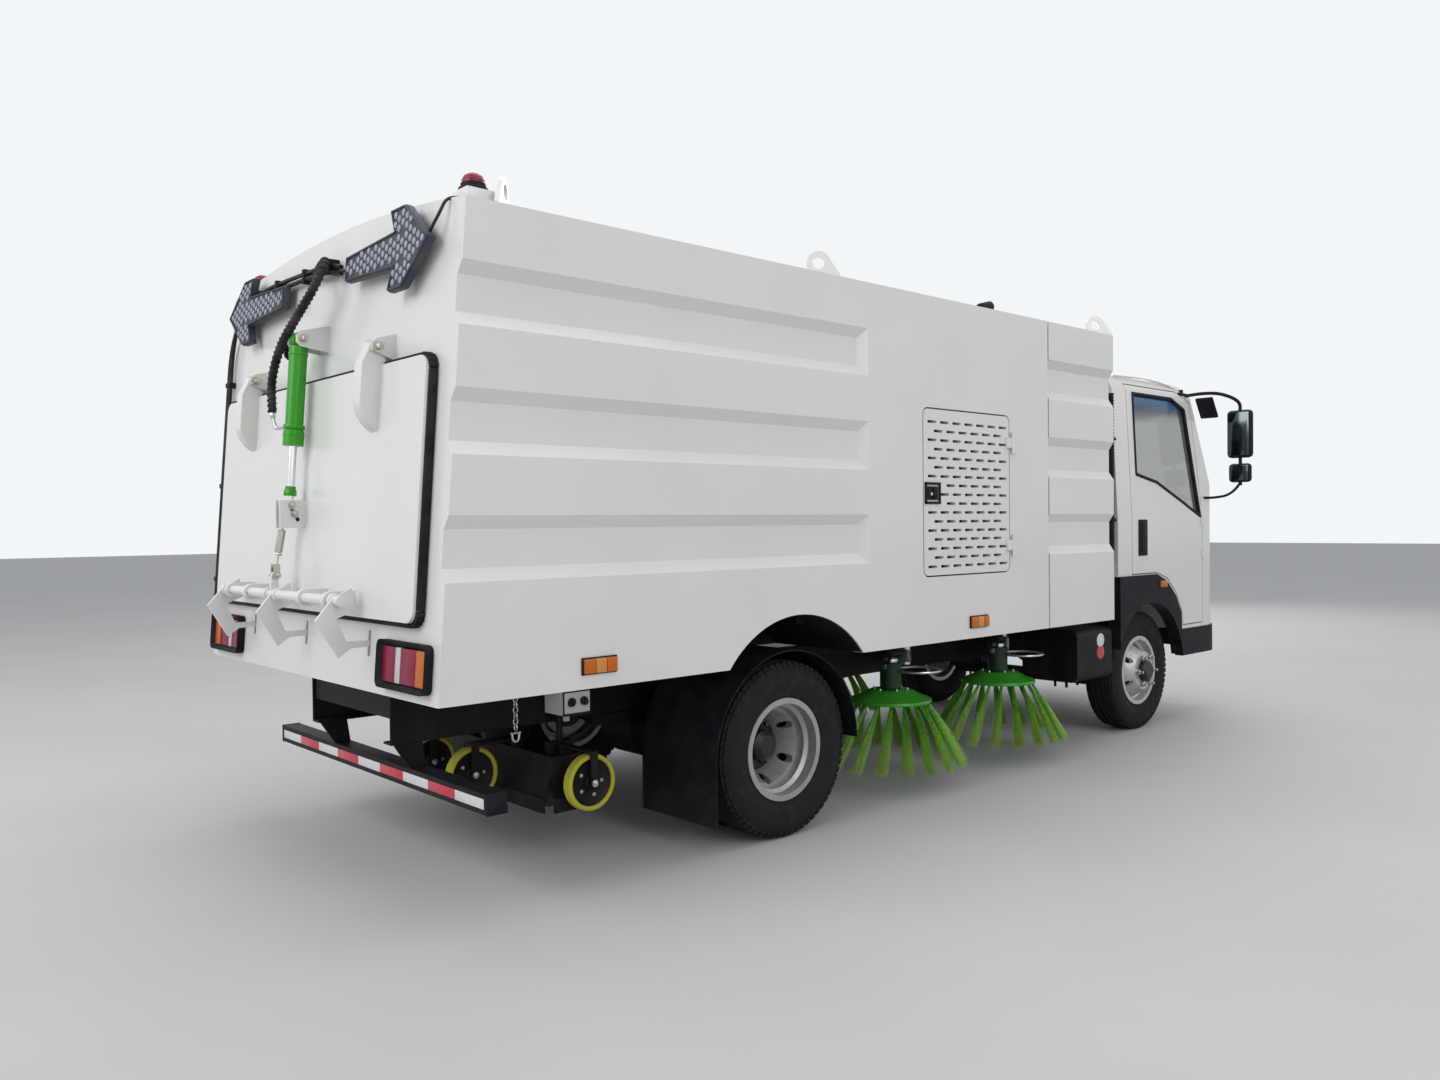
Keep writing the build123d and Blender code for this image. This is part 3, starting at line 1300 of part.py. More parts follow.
# Side brushes with their arms and knuckles
tuft_fall = brush_disc_bottom_z + 8 - tuft_tip_z
tuft_spread = tuft_tip_circle - tuft_top_circle
tuft_length = sqrt(tuft_fall**2 + tuft_spread**2)
tuft_taper = degrees(atan2(tuft_tip_radius - tuft_top_radius, tuft_length))
motor_bottom_z = brush_disc_bottom_z + brush_disc_height + 5
for place, ahead in brushes:
    for side, sign in sides:
        brush_x = rear_axle_x + ahead
        centre_y = across(sign, brush_y)
        pivot_x = brush_x + arm_pivot_ahead
        pivot_y = across(sign, arm_pivot_y)
        with BuildPart() as brush:
            with BuildSketch(Plane.XY.offset(brush_disc_bottom_z)):
                with Locations((brush_x, centre_y)):
                    Circle(brush_disc_radius)
            slope = degrees(atan2(brush_disc_radius - brush_disc_top_radius, brush_disc_height))
            extrude(amount=brush_disc_height, taper=slope)
            for index in range(tuft_count):
                angle = radians(360 * index / tuft_count)
                way = Vector(
                    tuft_spread * cos(angle) + 60 * sin(angle),
                    tuft_spread * sin(angle) - 60 * cos(angle),
                    -tuft_fall,
                )
                start = Vector(
                    brush_x + tuft_top_circle * cos(angle),
                    centre_y + tuft_top_circle * sin(angle),
                    brush_disc_bottom_z + 8,
                )
                with BuildSketch(Plane(origin=start, z_dir=way)):
                    RegularPolygon(tuft_top_radius, 6)
                extrude(amount=way.length - 14, taper=-tuft_taper)
            with BuildSketch(Plane.XY.offset(brush_disc_bottom_z - 10)):
                with Locations((brush_x, centre_y)):
                    Circle(22 + fit)
            extrude(amount=brush_disc_height + 20, mode=Mode.SUBTRACT)
        brush.part.label = f"brush_{place}_{side}"
        export_step(brush.part, f"parts/brush_{place}_{side}.step")

        arm_way = Vector(brush_x - pivot_x, centre_y - pivot_y, 0)
        arm_unit = arm_way.normalized()
        lift_pin = Vector(pivot_x, pivot_y, arm_pivot_z) + arm_unit * 70
        arm_plane = Plane(origin=lift_pin, x_dir=(0, 0, 1), z_dir=arm_unit)
        cross_unit = Vector(-arm_unit.Y, arm_unit.X, 0)
        with BuildPart() as brush_arm:
            with BuildSketch(arm_plane.offset(8)):
                RectangleRounded(arm_height, arm_width, 8)
            extrude(amount=arm_way.length - 70 - 8)
            with BuildSketch(upright_plane(lift_pin - cross_unit * arm_width / 2, cross_unit)):
                Circle(arm_height / 2)
            extrude(amount=arm_width)
            with BuildSketch(upright_plane(lift_pin - cross_unit * arm_width, cross_unit)):
                Circle(arm_pin_radius + fit)
            extrude(amount=2 * arm_width, mode=Mode.SUBTRACT)
            with BuildSketch(Plane.XY.offset(motor_bottom_z)):
                with Locations((brush_x, centre_y)):
                    Circle(brush_motor_radius)
            extrude(amount=brush_motor_height)
            with BuildSketch(Plane.XY.offset(brush_disc_bottom_z - 6)):
                with Locations((brush_x, centre_y)):
                    Circle(22)
            extrude(amount=motor_bottom_z - brush_disc_bottom_z + 12)
            with BuildSketch(Plane.XY.offset(brush_disc_bottom_z - 18)):
                with Locations((brush_x, centre_y)):
                    Circle(40)
            extrude(amount=18 - fit)
        brush_arm.part.label = f"brush_arm_{place}_{side}"
        export_step(brush_arm.part, f"parts/brush_arm_{place}_{side}.step")

        with BuildPart() as brush_knuckle:
            with Locations((pivot_x, pivot_y, arm_pivot_z)):
                Cylinder(32, 104 - 2 * fit)
            fork = upright_plane(Vector(pivot_x, pivot_y, arm_pivot_z) + arm_unit * 20, arm_unit)
            for end in (-1, 1):
                with BuildSketch(fork):
                    with Locations((0, end * (arm_width / 2 + 7))):
                        Rectangle(arm_height, 12)
                extrude(amount=50 + arm_height / 2)
            with BuildSketch(fork):
                Rectangle(arm_height, arm_width + 26)
            extrude(amount=10)
            with BuildSketch(upright_plane(lift_pin - cross_unit * (arm_width / 2 + 12), cross_unit)):
                Circle(arm_pin_radius)
            extrude(amount=arm_width + 24)
            with Locations((pivot_x, pivot_y, arm_pivot_z)):
                Cylinder(arm_pin_radius + fit, 140, mode=Mode.SUBTRACT)
        brush_knuckle.part.label = f"brush_knuckle_{place}_{side}"
        export_step(brush_knuckle.part, f"parts/brush_knuckle_{place}_{side}.step")


def cab_volume(inset, side_inset):
    """Closed outer form of the cab above its floor line, with its walls moved in."""
    half = cab_half_width - side_inset
    top_half = cab_roof_half_width - side_inset
    rear = cab_rear_x + inset
    front = cab_front_x - inset
    roof = cab_roof_z - inset
    corner = cab_corner - inset
    with BuildPart() as volume:
        with BuildSketch(side_plane(cab_half_width + 20)):
            with BuildLine():
                Polyline(
                    (rear, cab_bottom_z + inset), (rear, roof - 70), (rear + 90, roof - 18),
                    (rear + 420, roof), (front_axle_x + 560 - inset, roof - 40),
                    (front_axle_x + 660 - inset, roof - 110), (front - 60, cab_belt_z - 20),
                    (front, cab_belt_z - 330), (front - 10, cab_skirt_z),
                    (front_axle_x + flare_radius - 60 + inset, cab_skirt_z),
                    (front_axle_x + flare_radius - 75 + inset, 740), (front_axle_x + 350 + inset, 860),
                    (front_axle_x + 230 + inset, 955), (front_axle_x + 90 + inset / 2, cab_bottom_z + inset),
                    close=True,
                )
            make_face()
        extrude(amount=2 * cab_half_width + 40)
        with BuildSketch(Plane.YZ.offset(cab_rear_x - 50)):
            with BuildLine():
                Polyline(
                    (half, 500), (half, cab_belt_z), (top_half + 8, roof - 120), (top_half - 40, roof - 30),
                    (top_half - 160, roof + 10), (-top_half + 160, roof + 10), (-top_half + 40, roof - 30),
                    (-top_half - 8, roof - 120), (-half, cab_belt_z), (-half, 500), close=True,
                )
            make_face()
        extrude(amount=cab_front_x - cab_rear_x + 100, mode=Mode.INTERSECT)
        bend = corner * (1 - sqrt(0.5))
        with BuildSketch(Plane.XY.offset(400)):
            with BuildLine():
                Polyline(
                    (front - corner, -half), (rear - 60, -half),
                    (rear - 60, half), (front - corner, half),
                )
                ThreePointArc((front - corner, half), (front - bend, half - bend), (front, half - corner))
                Line((front, half - corner), (front, corner - half))
                ThreePointArc((front, corner - half), (front - bend, bend - half), (front - corner, -half))
            make_face()
        extrude(amount=2200, mode=Mode.INTERSECT)
    return volume.part


def cab_shell_volume():
    """The cab's panels, one wall thick, with a floor; open below it between the side pockets."""
    pocket_y = rail_outer_y + 105
    length = cab_front_x - cab_wall - cab_rear_x + 10
    middle_x = cab_rear_x - 10 + length / 2
    with BuildPart() as inside:
        add(cab_volume(cab_wall, cab_wall))
        with Locations((front_axle_x, 0, cab_bottom_z + cab_wall / 2)):
            Box(4000, 3 * cab_half_width, cab_wall, mode=Mode.SUBTRACT)
    with BuildPart() as walls:
        add(cab_volume(0, 0))
        add(inside.part, mode=Mode.SUBTRACT)
        with Locations((middle_x, 0, (cab_bottom_z + cab_skirt_z - 20) / 2)):
            Box(length, 2 * pocket_y, cab_bottom_z - cab_skirt_z + 20, mode=Mode.SUBTRACT)
    return walls.part


def cab_side_y(z):
    """Half width of the cab at a height above its belt line."""
    share = (z - cab_belt_z) / (cab_roof_z - 120 - cab_belt_z)
    return cab_half_width + share * (cab_roof_half_width + 8 - cab_half_width)


def door_outline(gap):
    """Side outline of the cab door, larger by gap all round."""
    with BuildSketch() as outline:
        with BuildLine():
            Polyline(
                (cab_door_rear_x - gap, cab_bottom_z + 12 - gap),
                (cab_door_rear_x - gap, cab_door_top_z + gap),
                (front_axle_x + 470 + gap, cab_door_top_z + gap),
                (front_axle_x + 640 + gap, cab_door_top_z - 65 + gap),
                (cab_door_front_x + gap, cab_belt_z + 60), (cab_door_front_x + gap, 650 - gap),
                (front_axle_x + flare_radius - 40 - gap, 650 - gap),
                (front_axle_x + flare_radius - 55 - gap, 745 - gap),
                (front_axle_x + 366 - gap, 872 - gap), (front_axle_x + 244 - gap, 970 - gap),
                (front_axle_x + 96, cab_bottom_z + 12 - gap), close=True,
            )
        make_face()
    return outline.sketch


def side_window(grow):
    """Side window outline: low and sloping towards the front."""
    with BuildSketch() as outline:
        with BuildLine():
            Polyline(
                (cab_door_rear_x + 78 - grow, 1640 - grow), (cab_door_rear_x + 78 - grow, 2152 + grow),
                (front_axle_x + 380, 2152 + grow), (front_axle_x + 560 + grow, 2090),
                (front_axle_x + 727 + grow, 1372 - grow), (front_axle_x + 480, 1465 - grow),
                (front_axle_x + 120, 1594 - grow), close=True,
            )
        make_face()
    return outline.sketch


def across_cab(outline):
    """A side outline carried right across the cab."""
    with BuildPart() as prism:
        with BuildSketch(side_plane(cab_half_width + 30)):
            add(outline)
        extrude(amount=2 * cab_half_width + 60)
    return prism.part


def end_windows(shrink):
    """The windscreen's and the rear window's outlines, carried through the cab's ends."""
    screen_height = cab_roof_z - 180 - cab_belt_z
    with BuildPart() as prism:
        with BuildSketch(Plane.YZ.offset(front_axle_x + 500)):
            with Locations((0, cab_belt_z + 30 + screen_height / 2)):
                RectangleRounded(2 * windscreen_half - 2 * shrink, screen_height - 2 * shrink, 60)
        extrude(amount=800)
        with BuildSketch(Plane.YZ.offset(cab_rear_x - 20)):
            with Locations((0, 1840)):
                RectangleRounded(1300 - 2 * shrink, 420 - 2 * shrink, 60)
        extrude(amount=120)
    return prism.part


windscreen_half = cab_roof_half_width - 70
outer_form = cab_volume(0, 0)
door_slab = outer_form - cab_volume(0, cab_wall)
door_cut = (outer_form - cab_volume(0, cab_wall + door_gap)) & across_cab(door_outline(door_gap))
glass_inner = glass_inset + glass_thickness
glass_layer = cab_volume(glass_inset, glass_inset) - cab_volume(glass_inner, glass_inner)

# Cab shell: the fixed panels, with the doors' and windows' openings
with BuildPart() as cab_shell:
    add(cab_shell_volume())
    add(door_cut, mode=Mode.SUBTRACT)
    add(end_windows(0), mode=Mode.SUBTRACT)
    for sign in (1, -1):
        for x in (cab_rear_x + 60, front_axle_x + 850):
            with Locations((x, across(sign, rail_outer_y - 40), (rail_top_z + cab_bottom_z) / 2)):
                Box(70, 60, cab_bottom_z - rail_top_z)
        for z in cab_hinge_zs:
            with Locations((cab_hinge_x, across(sign, cab_half_width), z)):
                Cylinder(cab_hinge_radius + 2, cab_hinge_height / 2 + 1, mode=Mode.SUBTRACT)
                Cylinder(cab_pin_radius, cab_hinge_height)
            for end in (-1, 1):
                knuckle_z = z + end * cab_hinge_height * 3 / 8
                with Locations((cab_hinge_x, across(sign, cab_half_width), knuckle_z)):
                    Cylinder(cab_hinge_radius, cab_hinge_height / 4)
cab_shell.part.label = "cab_shell"
export_step(cab_shell.part, "parts/cab_shell.step")

with BuildPart() as cab_glass:
    add(glass_layer)
    add(end_windows(fit), mode=Mode.INTERSECT)
cab_glass.part.label = "cab_glass"
export_step(cab_glass.part, "parts/cab_glass.step")

for side, sign in sides:
    half_space = Pos(0, across(sign, 1000), 1500) * Box(12000, 2000, 4000)
    with BuildPart() as cab_door:
        add(door_slab & half_space)
        add(across_cab(door_outline(0)), mode=Mode.INTERSECT)
        add(across_cab(side_window(0)), mode=Mode.SUBTRACT)
        knuckle_height = cab_hinge_height / 2 - 2 * fit
        leaf = cab_hinge_x - cab_door_front_x + 22
        for z in cab_hinge_zs:
            with Locations((cab_hinge_x, across(sign, cab_half_width), z)):
                Cylinder(cab_hinge_radius, knuckle_height)
            with Locations((cab_hinge_x - leaf / 2, across(sign, cab_half_width + cab_hinge_radius / 2), z)):
                Box(leaf, cab_hinge_radius, knuckle_height)
            with Locations((cab_hinge_x, across(sign, cab_half_width), z)):
                Cylinder(cab_pin_radius + fit, cab_hinge_height, mode=Mode.SUBTRACT)
    cab_door.part.label = f"cab_door_{side}"
    export_step(cab_door.part, f"parts/cab_door_{side}.step")

    with BuildPart() as door_glass:
        add(glass_layer & half_space)
        add(across_cab(side_window(-fit)), mode=Mode.INTERSECT)
    door_glass.part.label = f"door_glass_{side}"
    export_step(door_glass.part, f"parts/door_glass_{side}.step")

# Front bumper
with BuildPart() as front_bumper:
    bumper_front = front_axle_x + front_overhang
    bumper_side = cab_half_width + 5
    x0 = front_axle_x + flare_radius - 60
    with BuildSketch(Plane.XY.offset(440)):
        with BuildLine():
            Polyline((x0, bumper_side), (bumper_front - 260, bumper_side))
            ThreePointArc(
                (bumper_front - 260, bumper_side), (bumper_front - 76, bumper_side - 76),
                (bumper_front, bumper_side - 260),
            )
            Line((bumper_front, bumper_side - 260), (bumper_front, 260 - bumper_side))
            ThreePointArc(
                (bumper_front, 260 - bumper_side), (bumper_front - 76, 76 - bumper_side),
                (bumper_front - 260, -bumper_side),
            )
            Polyline(
                (bumper_front - 260, -bumper_side), (x0, -bumper_side), (x0, 55 - bumper_side),
                (bumper_front - 260, 55 - bumper_side),
            )
            ThreePointArc(
                (bumper_front - 260, 55 - bumper_side), (bumper_front - 115, 115 - bumper_side),
                (bumper_front - 55, 260 - bumper_side),
            )
            Line((bumper_front - 55, 260 - bumper_side), (bumper_front - 55, bumper_side - 260))
            ThreePointArc(
                (bumper_front - 55, bumper_side - 260), (bumper_front - 115, bumper_side - 115),
                (bumper_front - 260, bumper_side - 55),
            )
            Polyline((bumper_front - 260, bumper_side - 55), (x0, bumper_side - 55), (x0, bumper_side))
        make_face()
    extrude(amount=cab_skirt_z - 440 - fit)
    for sign in (1, -1):
        with Locations(((rail_front_x + bumper_front - 50) / 2, across(sign, rail_outer_y - 30), 570)):
            Box(bumper_front - 50 - rail_front_x, 50, 80)
front_bumper.part.label = "front_bumper"
export_step(front_bumper.part, "parts/front_bumper.step")

# Headlamps, set on the front panel
with BuildPart() as headlamps:
    for sign in (1, -1):
        with Locations((cab_front_x, across(sign, 560), 720)):
            Box(40, 240, 130)
    add(outer_form, mode=Mode.SUBTRACT)
headlamps.part.label = "headlamps"
export_step(headlamps.part, "parts/headlamps.step")

# Seats and dashboard
cab_floor_z = cab_bottom_z + cab_wall
with BuildPart() as seats:
    for sign in (1, -1):
        with Locations((cab_rear_x + 370, across(sign, 440), cab_floor_z + 170)):
            Box(460, 480, 340 - 2 * fit)
        with Locations((cab_rear_x + cab_wall + 80, across(sign, 440), cab_floor_z + 470)):
            Box(110, 460, 800)
seats.part.label = "seats"
export_step(seats.part, "parts/seats.step")

wheel_centre = Vector(front_axle_x + 540, 440, 1520)
with BuildPart() as dashboard:
    with BuildSketch(side_plane(cab_half_width - cab_wall - 60)):
        with BuildLine():
            Polyline(
                (front_axle_x + 690, cab_floor_z + 120), (front_axle_x + 690, 1330),
                (front_axle_x + 760, 1375),
                (front_axle_x + 880, 1330), (front_axle_x + 900, cab_floor_z + 120), close=True,
            )
        make_face()
    extrude(amount=2 * (cab_half_width - cab_wall - 60))
    for y in (-300, 300):
        with Locations((front_axle_x + 800, y, cab_floor_z + fit + 65)):
            Box(60, 60, 130)
    column = Vector(180, 0, -230)
    with BuildSketch(Plane(origin=wheel_centre, z_dir=column)):
        Circle(22)
    extrude(amount=column.length)
    with Locations(Plane(origin=wheel_centre, z_dir=column)):
        Torus(205, 14)
        Box(400, 30, 16)
dashboard.part.label = "dashboard"
export_step(dashboard.part, "parts/dashboard.step")

# Mirrors on their arms
with BuildPart() as mirrors:
    for sign in (1, -1):
        foot = Vector(front_axle_x + 676, across(sign, cab_side_y(2080 - 13) + fit), 2080)
        knee = Vector(front_axle_x + 676, across(sign, 945), 2080)
        head = Vector(front_axle_x + 905, across(sign, 1135), 1930)
        with BuildLine() as arm_path:
            FilletPolyline(
                foot,
                knee,
                (foot.X + 80, across(sign, 1000), 2110),
                (head.X, head.Y, 2120),
                (head.X, head.Y, head.Z + 150),
                radius=20,
            )
        with BuildSketch(Plane(origin=foot, z_dir=(0, sign, 0))):
            Circle(13)
        sweep(path=arm_path.line)
        with Locations(head):
            Box(70, 170, 330)
        with Locations(head - Vector(0, 0, 265)):
            Box(60, 150, 130)
        with Locations(head - Vector(0, 0, 182)):
            Cylinder(13, 60)
mirrors.part.label = "mirrors"
export_step(mirrors.part, "parts/mirrors.step")

# Air intake behind the cab
with BuildPart() as air_intake:
    with Locations((cab_rear_x - 70, -820, 1560)):
        Box(110, 150, 1100)
    with Locations((cab_rear_x - 10 - fit, -820, 2060)):
        Box(20, 120, 60)
air_intake.part.label = "air_intake"
export_step(air_intake.part, "parts/air_intake.step")
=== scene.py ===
"""Looks of the street sweeper truck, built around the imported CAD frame. Metres, +X forward, +Z up."""

import json
import logging
import math
import random
from dataclasses import dataclass
from enum import Enum
from functools import cache
from typing import Callable, Iterable, Optional, Sequence, Union

import bmesh
import bpy
from mathutils import Matrix, Vector

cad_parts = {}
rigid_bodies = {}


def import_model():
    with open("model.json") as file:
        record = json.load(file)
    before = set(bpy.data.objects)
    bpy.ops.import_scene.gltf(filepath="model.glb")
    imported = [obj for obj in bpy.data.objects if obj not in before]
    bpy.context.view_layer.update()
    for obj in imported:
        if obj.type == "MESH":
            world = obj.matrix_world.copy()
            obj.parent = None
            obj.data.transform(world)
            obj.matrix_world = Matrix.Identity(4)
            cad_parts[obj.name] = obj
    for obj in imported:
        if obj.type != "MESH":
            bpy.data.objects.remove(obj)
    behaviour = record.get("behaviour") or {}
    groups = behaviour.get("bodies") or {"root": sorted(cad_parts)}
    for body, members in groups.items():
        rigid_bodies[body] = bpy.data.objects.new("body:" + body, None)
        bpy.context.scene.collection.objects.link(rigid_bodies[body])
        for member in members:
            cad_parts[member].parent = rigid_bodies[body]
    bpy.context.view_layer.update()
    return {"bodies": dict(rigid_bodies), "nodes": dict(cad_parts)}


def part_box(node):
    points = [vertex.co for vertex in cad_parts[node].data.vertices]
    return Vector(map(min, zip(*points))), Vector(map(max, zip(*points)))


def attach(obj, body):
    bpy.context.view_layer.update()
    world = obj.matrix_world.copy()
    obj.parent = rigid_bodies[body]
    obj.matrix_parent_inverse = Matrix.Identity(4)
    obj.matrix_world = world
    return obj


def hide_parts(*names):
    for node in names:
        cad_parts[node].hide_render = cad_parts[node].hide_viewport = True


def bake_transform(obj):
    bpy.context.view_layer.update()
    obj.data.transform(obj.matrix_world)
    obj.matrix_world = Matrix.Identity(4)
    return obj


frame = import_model()
LOG = logging.getLogger("sweeper")

Point = Sequence[float]
Value = Union["Term", float]
SIDES = (("left", 1), ("right", -1))
SIGNS = (1, -1)
UP, ACROSS = (0, 0, 1), (0, 1, 0)
FIRST_SEED = 8
REAR_AXLE_X = -1.3205
FRONT_AXLE_X = REAR_AXLE_X + 3.4
AXLE_Z = 0.38
BODY_SIDE_Y = 1.092
TAIL_LEAN, TAIL_TALL = 0.123, 1.659
TAIL_SLOPE = math.atan2(TAIL_LEAN, TAIL_TALL)
TAIL_OUT = Vector((-math.cos(TAIL_SLOPE), 0, math.sin(TAIL_SLOPE)))


def tail_x(z: float) -> float:
    """X of the body's sloping rear face at a height."""
    return REAR_AXLE_X - 1.676 + (z - 0.769) / TAIL_TALL * TAIL_LEAN


def off_tail(out: float, y: float, z: float) -> Vector:
    """Point that stands out from the rear face, at a height."""
    return Vector((tail_x(z) - out, y, z))


def roof_z(y: float) -> float:
    """Height of the body's crowned roof."""
    return 2.428 + 0.082 * (1 - (y / BODY_SIDE_Y) ** 2)


def line(at: Vector, *steps: Point) -> list:
    """Points at steps from a point."""
    return [at + Vector(step) for step in steps]


def both_ways(at: Vector, reach: float) -> list:
    """Places for a bolt on the left and the right of a point, facing away from it."""
    return [(at + Vector((0, sign * reach, 0)), (0, sign, 0)) for sign in SIGNS]


# Shader maths

def operator(operation: str, swapped: bool = False) -> Callable:
    """A method of Term that adds one Math node, its two values swapped for a reflected form."""
    def method(self: "Term", other: Value) -> "Term":
        """The operation on both values."""
        values = (other, self) if swapped else (self, other)
        node = self.shader.node("ShaderNodeMath", {"operation": operation}, dict(enumerate(values)))
        return Term(self.shader, node.outputs[0])
    return method


class Term:
    """A number that varies over a surface; each operator adds a Math node."""

    def __init__(self, shader: "Shader", socket: bpy.types.NodeSocket) -> None:
        """Keep the shader that the socket belongs to."""
        self.shader, self.socket = shader, socket

    __add__ = __radd__ = operator("ADD")
    __mul__ = __rmul__ = operator("MULTIPLY")
    __sub__, __rsub__ = operator("SUBTRACT"), operator("SUBTRACT", True)
    power, greatest = operator("POWER"), operator("MAXIMUM")

    def between(self, low: float, high: float) -> "Term":
        """0 below low, 1 above high, smooth between."""
        values = {"Value": self, "From Min": low, "From Max": high}
        node = self.shader.node("ShaderNodeMapRange", {"interpolation_type": "SMOOTHSTEP"}, values)
        return Term(self.shader, node.outputs[0])


class Shader:
    """Nodes of one material, read from Object coordinates, or of the world."""

    def __init__(self, block: Union[bpy.types.Material, bpy.types.World]) -> None:
        """Start the block's nodes."""
        self.block = block
        block.use_nodes = True
        self.tree = block.node_tree
        self.surface = self.tree.nodes.get("Principled BSDF")
        self.place = self.node("ShaderNodeTexCoord").outputs["Object"] if self.surface else None

    def node(
        self, kind: str, settings: Optional[dict] = None, values: Optional[dict] = None
    ) -> bpy.types.Node:
        """Add a node.

        Args:
            kind: the node's type.
            settings: its properties, and "stops" for a ramp.
            values: socket name or number to a value, a Term or a socket.

        Returns:
            The new node.
        """
        node = self.tree.nodes.new(kind)
        for key, value in (settings or {}).items():
            if key != "stops":
                setattr(node, key, value)
                continue
            ramp = node.color_ramp.elements
            for index, (at, color) in enumerate(value):
                stop = ramp[index] if index < 2 else ramp.new(at)
                stop.position, stop.color = at, (*color, 1)
        for key, value in (values or {}).items():
            self.put(node.inputs[key], value)
        return node

    def put(self, socket: bpy.types.NodeSocket, value: object) -> None:
        """Set or link one socket.

        Args:
            socket: an input.
            value: a number, a colour, a Term or an output.
        """
        value = value.socket if isinstance(value, Term) else value
        if isinstance(value, bpy.types.NodeSocket):
            self.tree.links.new(value, socket)
        else:
            socket.default_value = (*value, 1) if socket.type == "RGBA" and len(value) == 3 else value

    def set(self, **values: object) -> None:
        """Set sockets of the Principled BSDF, by name with underscores."""
        for name, value in values.items():
            self.put(self.surface.inputs[name.replace("_", " ")], value)

    def term(self, kind: str, output: Union[int, str] = 0, **values: object) -> Term:
        """A number from a new node that reads the object's place."""
        return Term(self, self.node(kind, {}, {"Vector": self.place, **values}).outputs[output])

    def noise(self, scale: float, detail: float = 3, stretch: Point = (1, 1, 1)) -> Term:
        """Noise over the object, about 0.3 to 0.7."""
        at = self.node("ShaderNodeMapping", {}, {"Vector": self.place, "Scale": tuple(stretch)}).outputs[0]
        return self.term("ShaderNodeTexNoise", Vector=at, Scale=scale, Detail=detail)

    def cells(self, scale: float) -> Term:
        """Distance to the nearest cell's middle, for grain."""
        return self.term("ShaderNodeTexVoronoi", Scale=scale)

    def axis(self, letter: str) -> Term:
        """One object coordinate, in metres."""
        return self.term("ShaderNodeSeparateXYZ", letter)

    def mix(self, factor: Term, low: object, high: object) -> bpy.types.NodeSocket:
        """Colour between low and high."""
        return self.node("ShaderNodeMix", {"data_type": "RGBA"}, {0: factor, 6: low, 7: high}).outputs[2]

    def bump(self, height: Term, depth: float, strength: float) -> None:
        """Bump the surface: depth is in metres."""
        node = self.node("ShaderNodeBump", {}, {"Height": height, "Distance": depth, "Strength": strength})
        self.set(Normal=node.outputs[0])


# Finishes

@dataclass(frozen=True)
class Recipe:
    """A finish: its material's name and colour. Each kind lays its own nodes."""

    name: str
    color: Point = (0.5, 0.5, 0.5)

    def make(self) -> bpy.types.Material:
        """Build the material."""
        s = Shader(bpy.data.materials.new(self.name))
        self.lay(s)
        return s.block

    def lay(self, s: Shader) -> None:
        """Lay the nodes."""

    def dim(self, part: float) -> list:
        """The colour times a factor."""
        return [c * part for c in self.color]


@dataclass(frozen=True)
class Paint(Recipe):
    """Sprayed metal: orange peel, faint patches, and road dust towards the ground."""

    roughness: float = 0.32
    coat: float = 0.35
    dust: float = 0.25
    shine: float = 0.5

    def lay(self, s: Shader) -> None:
        """Lay the nodes."""
        patches, grime = s.noise(1.7, 4), s.noise(9, 5, (1, 1, 0.35))
        low = 1 - s.axis("Z").between(0.15, 1.0)
        dirt = (low * grime.between(0.35, 0.75) * self.dust) + grime.between(0.66, 0.8) * (0.1 * self.dust)
        shade = s.mix(patches.between(0.3, 0.7), self.dim(0.965), self.color)
        s.set(Base_Color=s.mix(dirt, shade, (0.36, 0.33, 0.28)))
        s.set(Roughness=self.roughness + dirt * 0.45 + patches * 0.05, Coat_Weight=self.coat * (1 - dirt))
        s.set(Coat_Roughness=0.12, Specular_IOR_Level=self.shine)
        s.bump(s.noise(260, 2), 0.0003, 0.25)


@dataclass(frozen=True)
class Plastic(Recipe):
    """Moulded plastic with a leather-like grain."""

    roughness: float = 0.5
    grain: float = 700
    dust: float = 0.12

    def lay(self, s: Shader) -> None:
        """Lay the nodes."""
        worn = s.noise(14, 5)
        shade = s.mix(worn.between(0.35, 0.7) * self.dust, self.color, (0.3, 0.29, 0.27))
        s.set(Base_Color=shade, Roughness=self.roughness + worn * 0.14, Specular_IOR_Level=0.15)
        s.bump(s.cells(self.grain), 0.0003, 0.35)


class TyreRubber(Recipe):
    """Tyre rubber: matt, with dust on the tread and the lower side walls."""

    def lay(self, s: Shader) -> None:
        """Lay the nodes."""
        dust = s.noise(22, 6).between(0.48, 0.78) * 0.14
        fine = s.noise(420, 2)
        s.set(Base_Color=s.mix(dust, self.color, (0.10, 0.095, 0.085)), Roughness=0.72 + fine * 0.15)
        s.set(Specular_IOR_Level=0.2)
        s.bump(fine, 0.0006, 0.5)


@dataclass(frozen=True)
class BareMetal(Recipe):
    """Bare or plated metal, brushed and slightly stained."""

    roughness: float = 0.3
    stain: float = 0.3
    metallic: float = 1.0

    def lay(self, s: Shader) -> None:
        """Lay the nodes."""
        stain = s.noise(26, 5).between(0.4, 0.75) * self.stain
        brushed = s.noise(150, 3, (1, 1, 8))
        s.set(Base_Color=s.mix(stain, self.color, self.dim(0.5)))
        s.set(Roughness=self.roughness + stain * 0.4 + brushed * 0.08, Metallic=self.metallic)
        s.bump(brushed, 0.0002, 0.3)


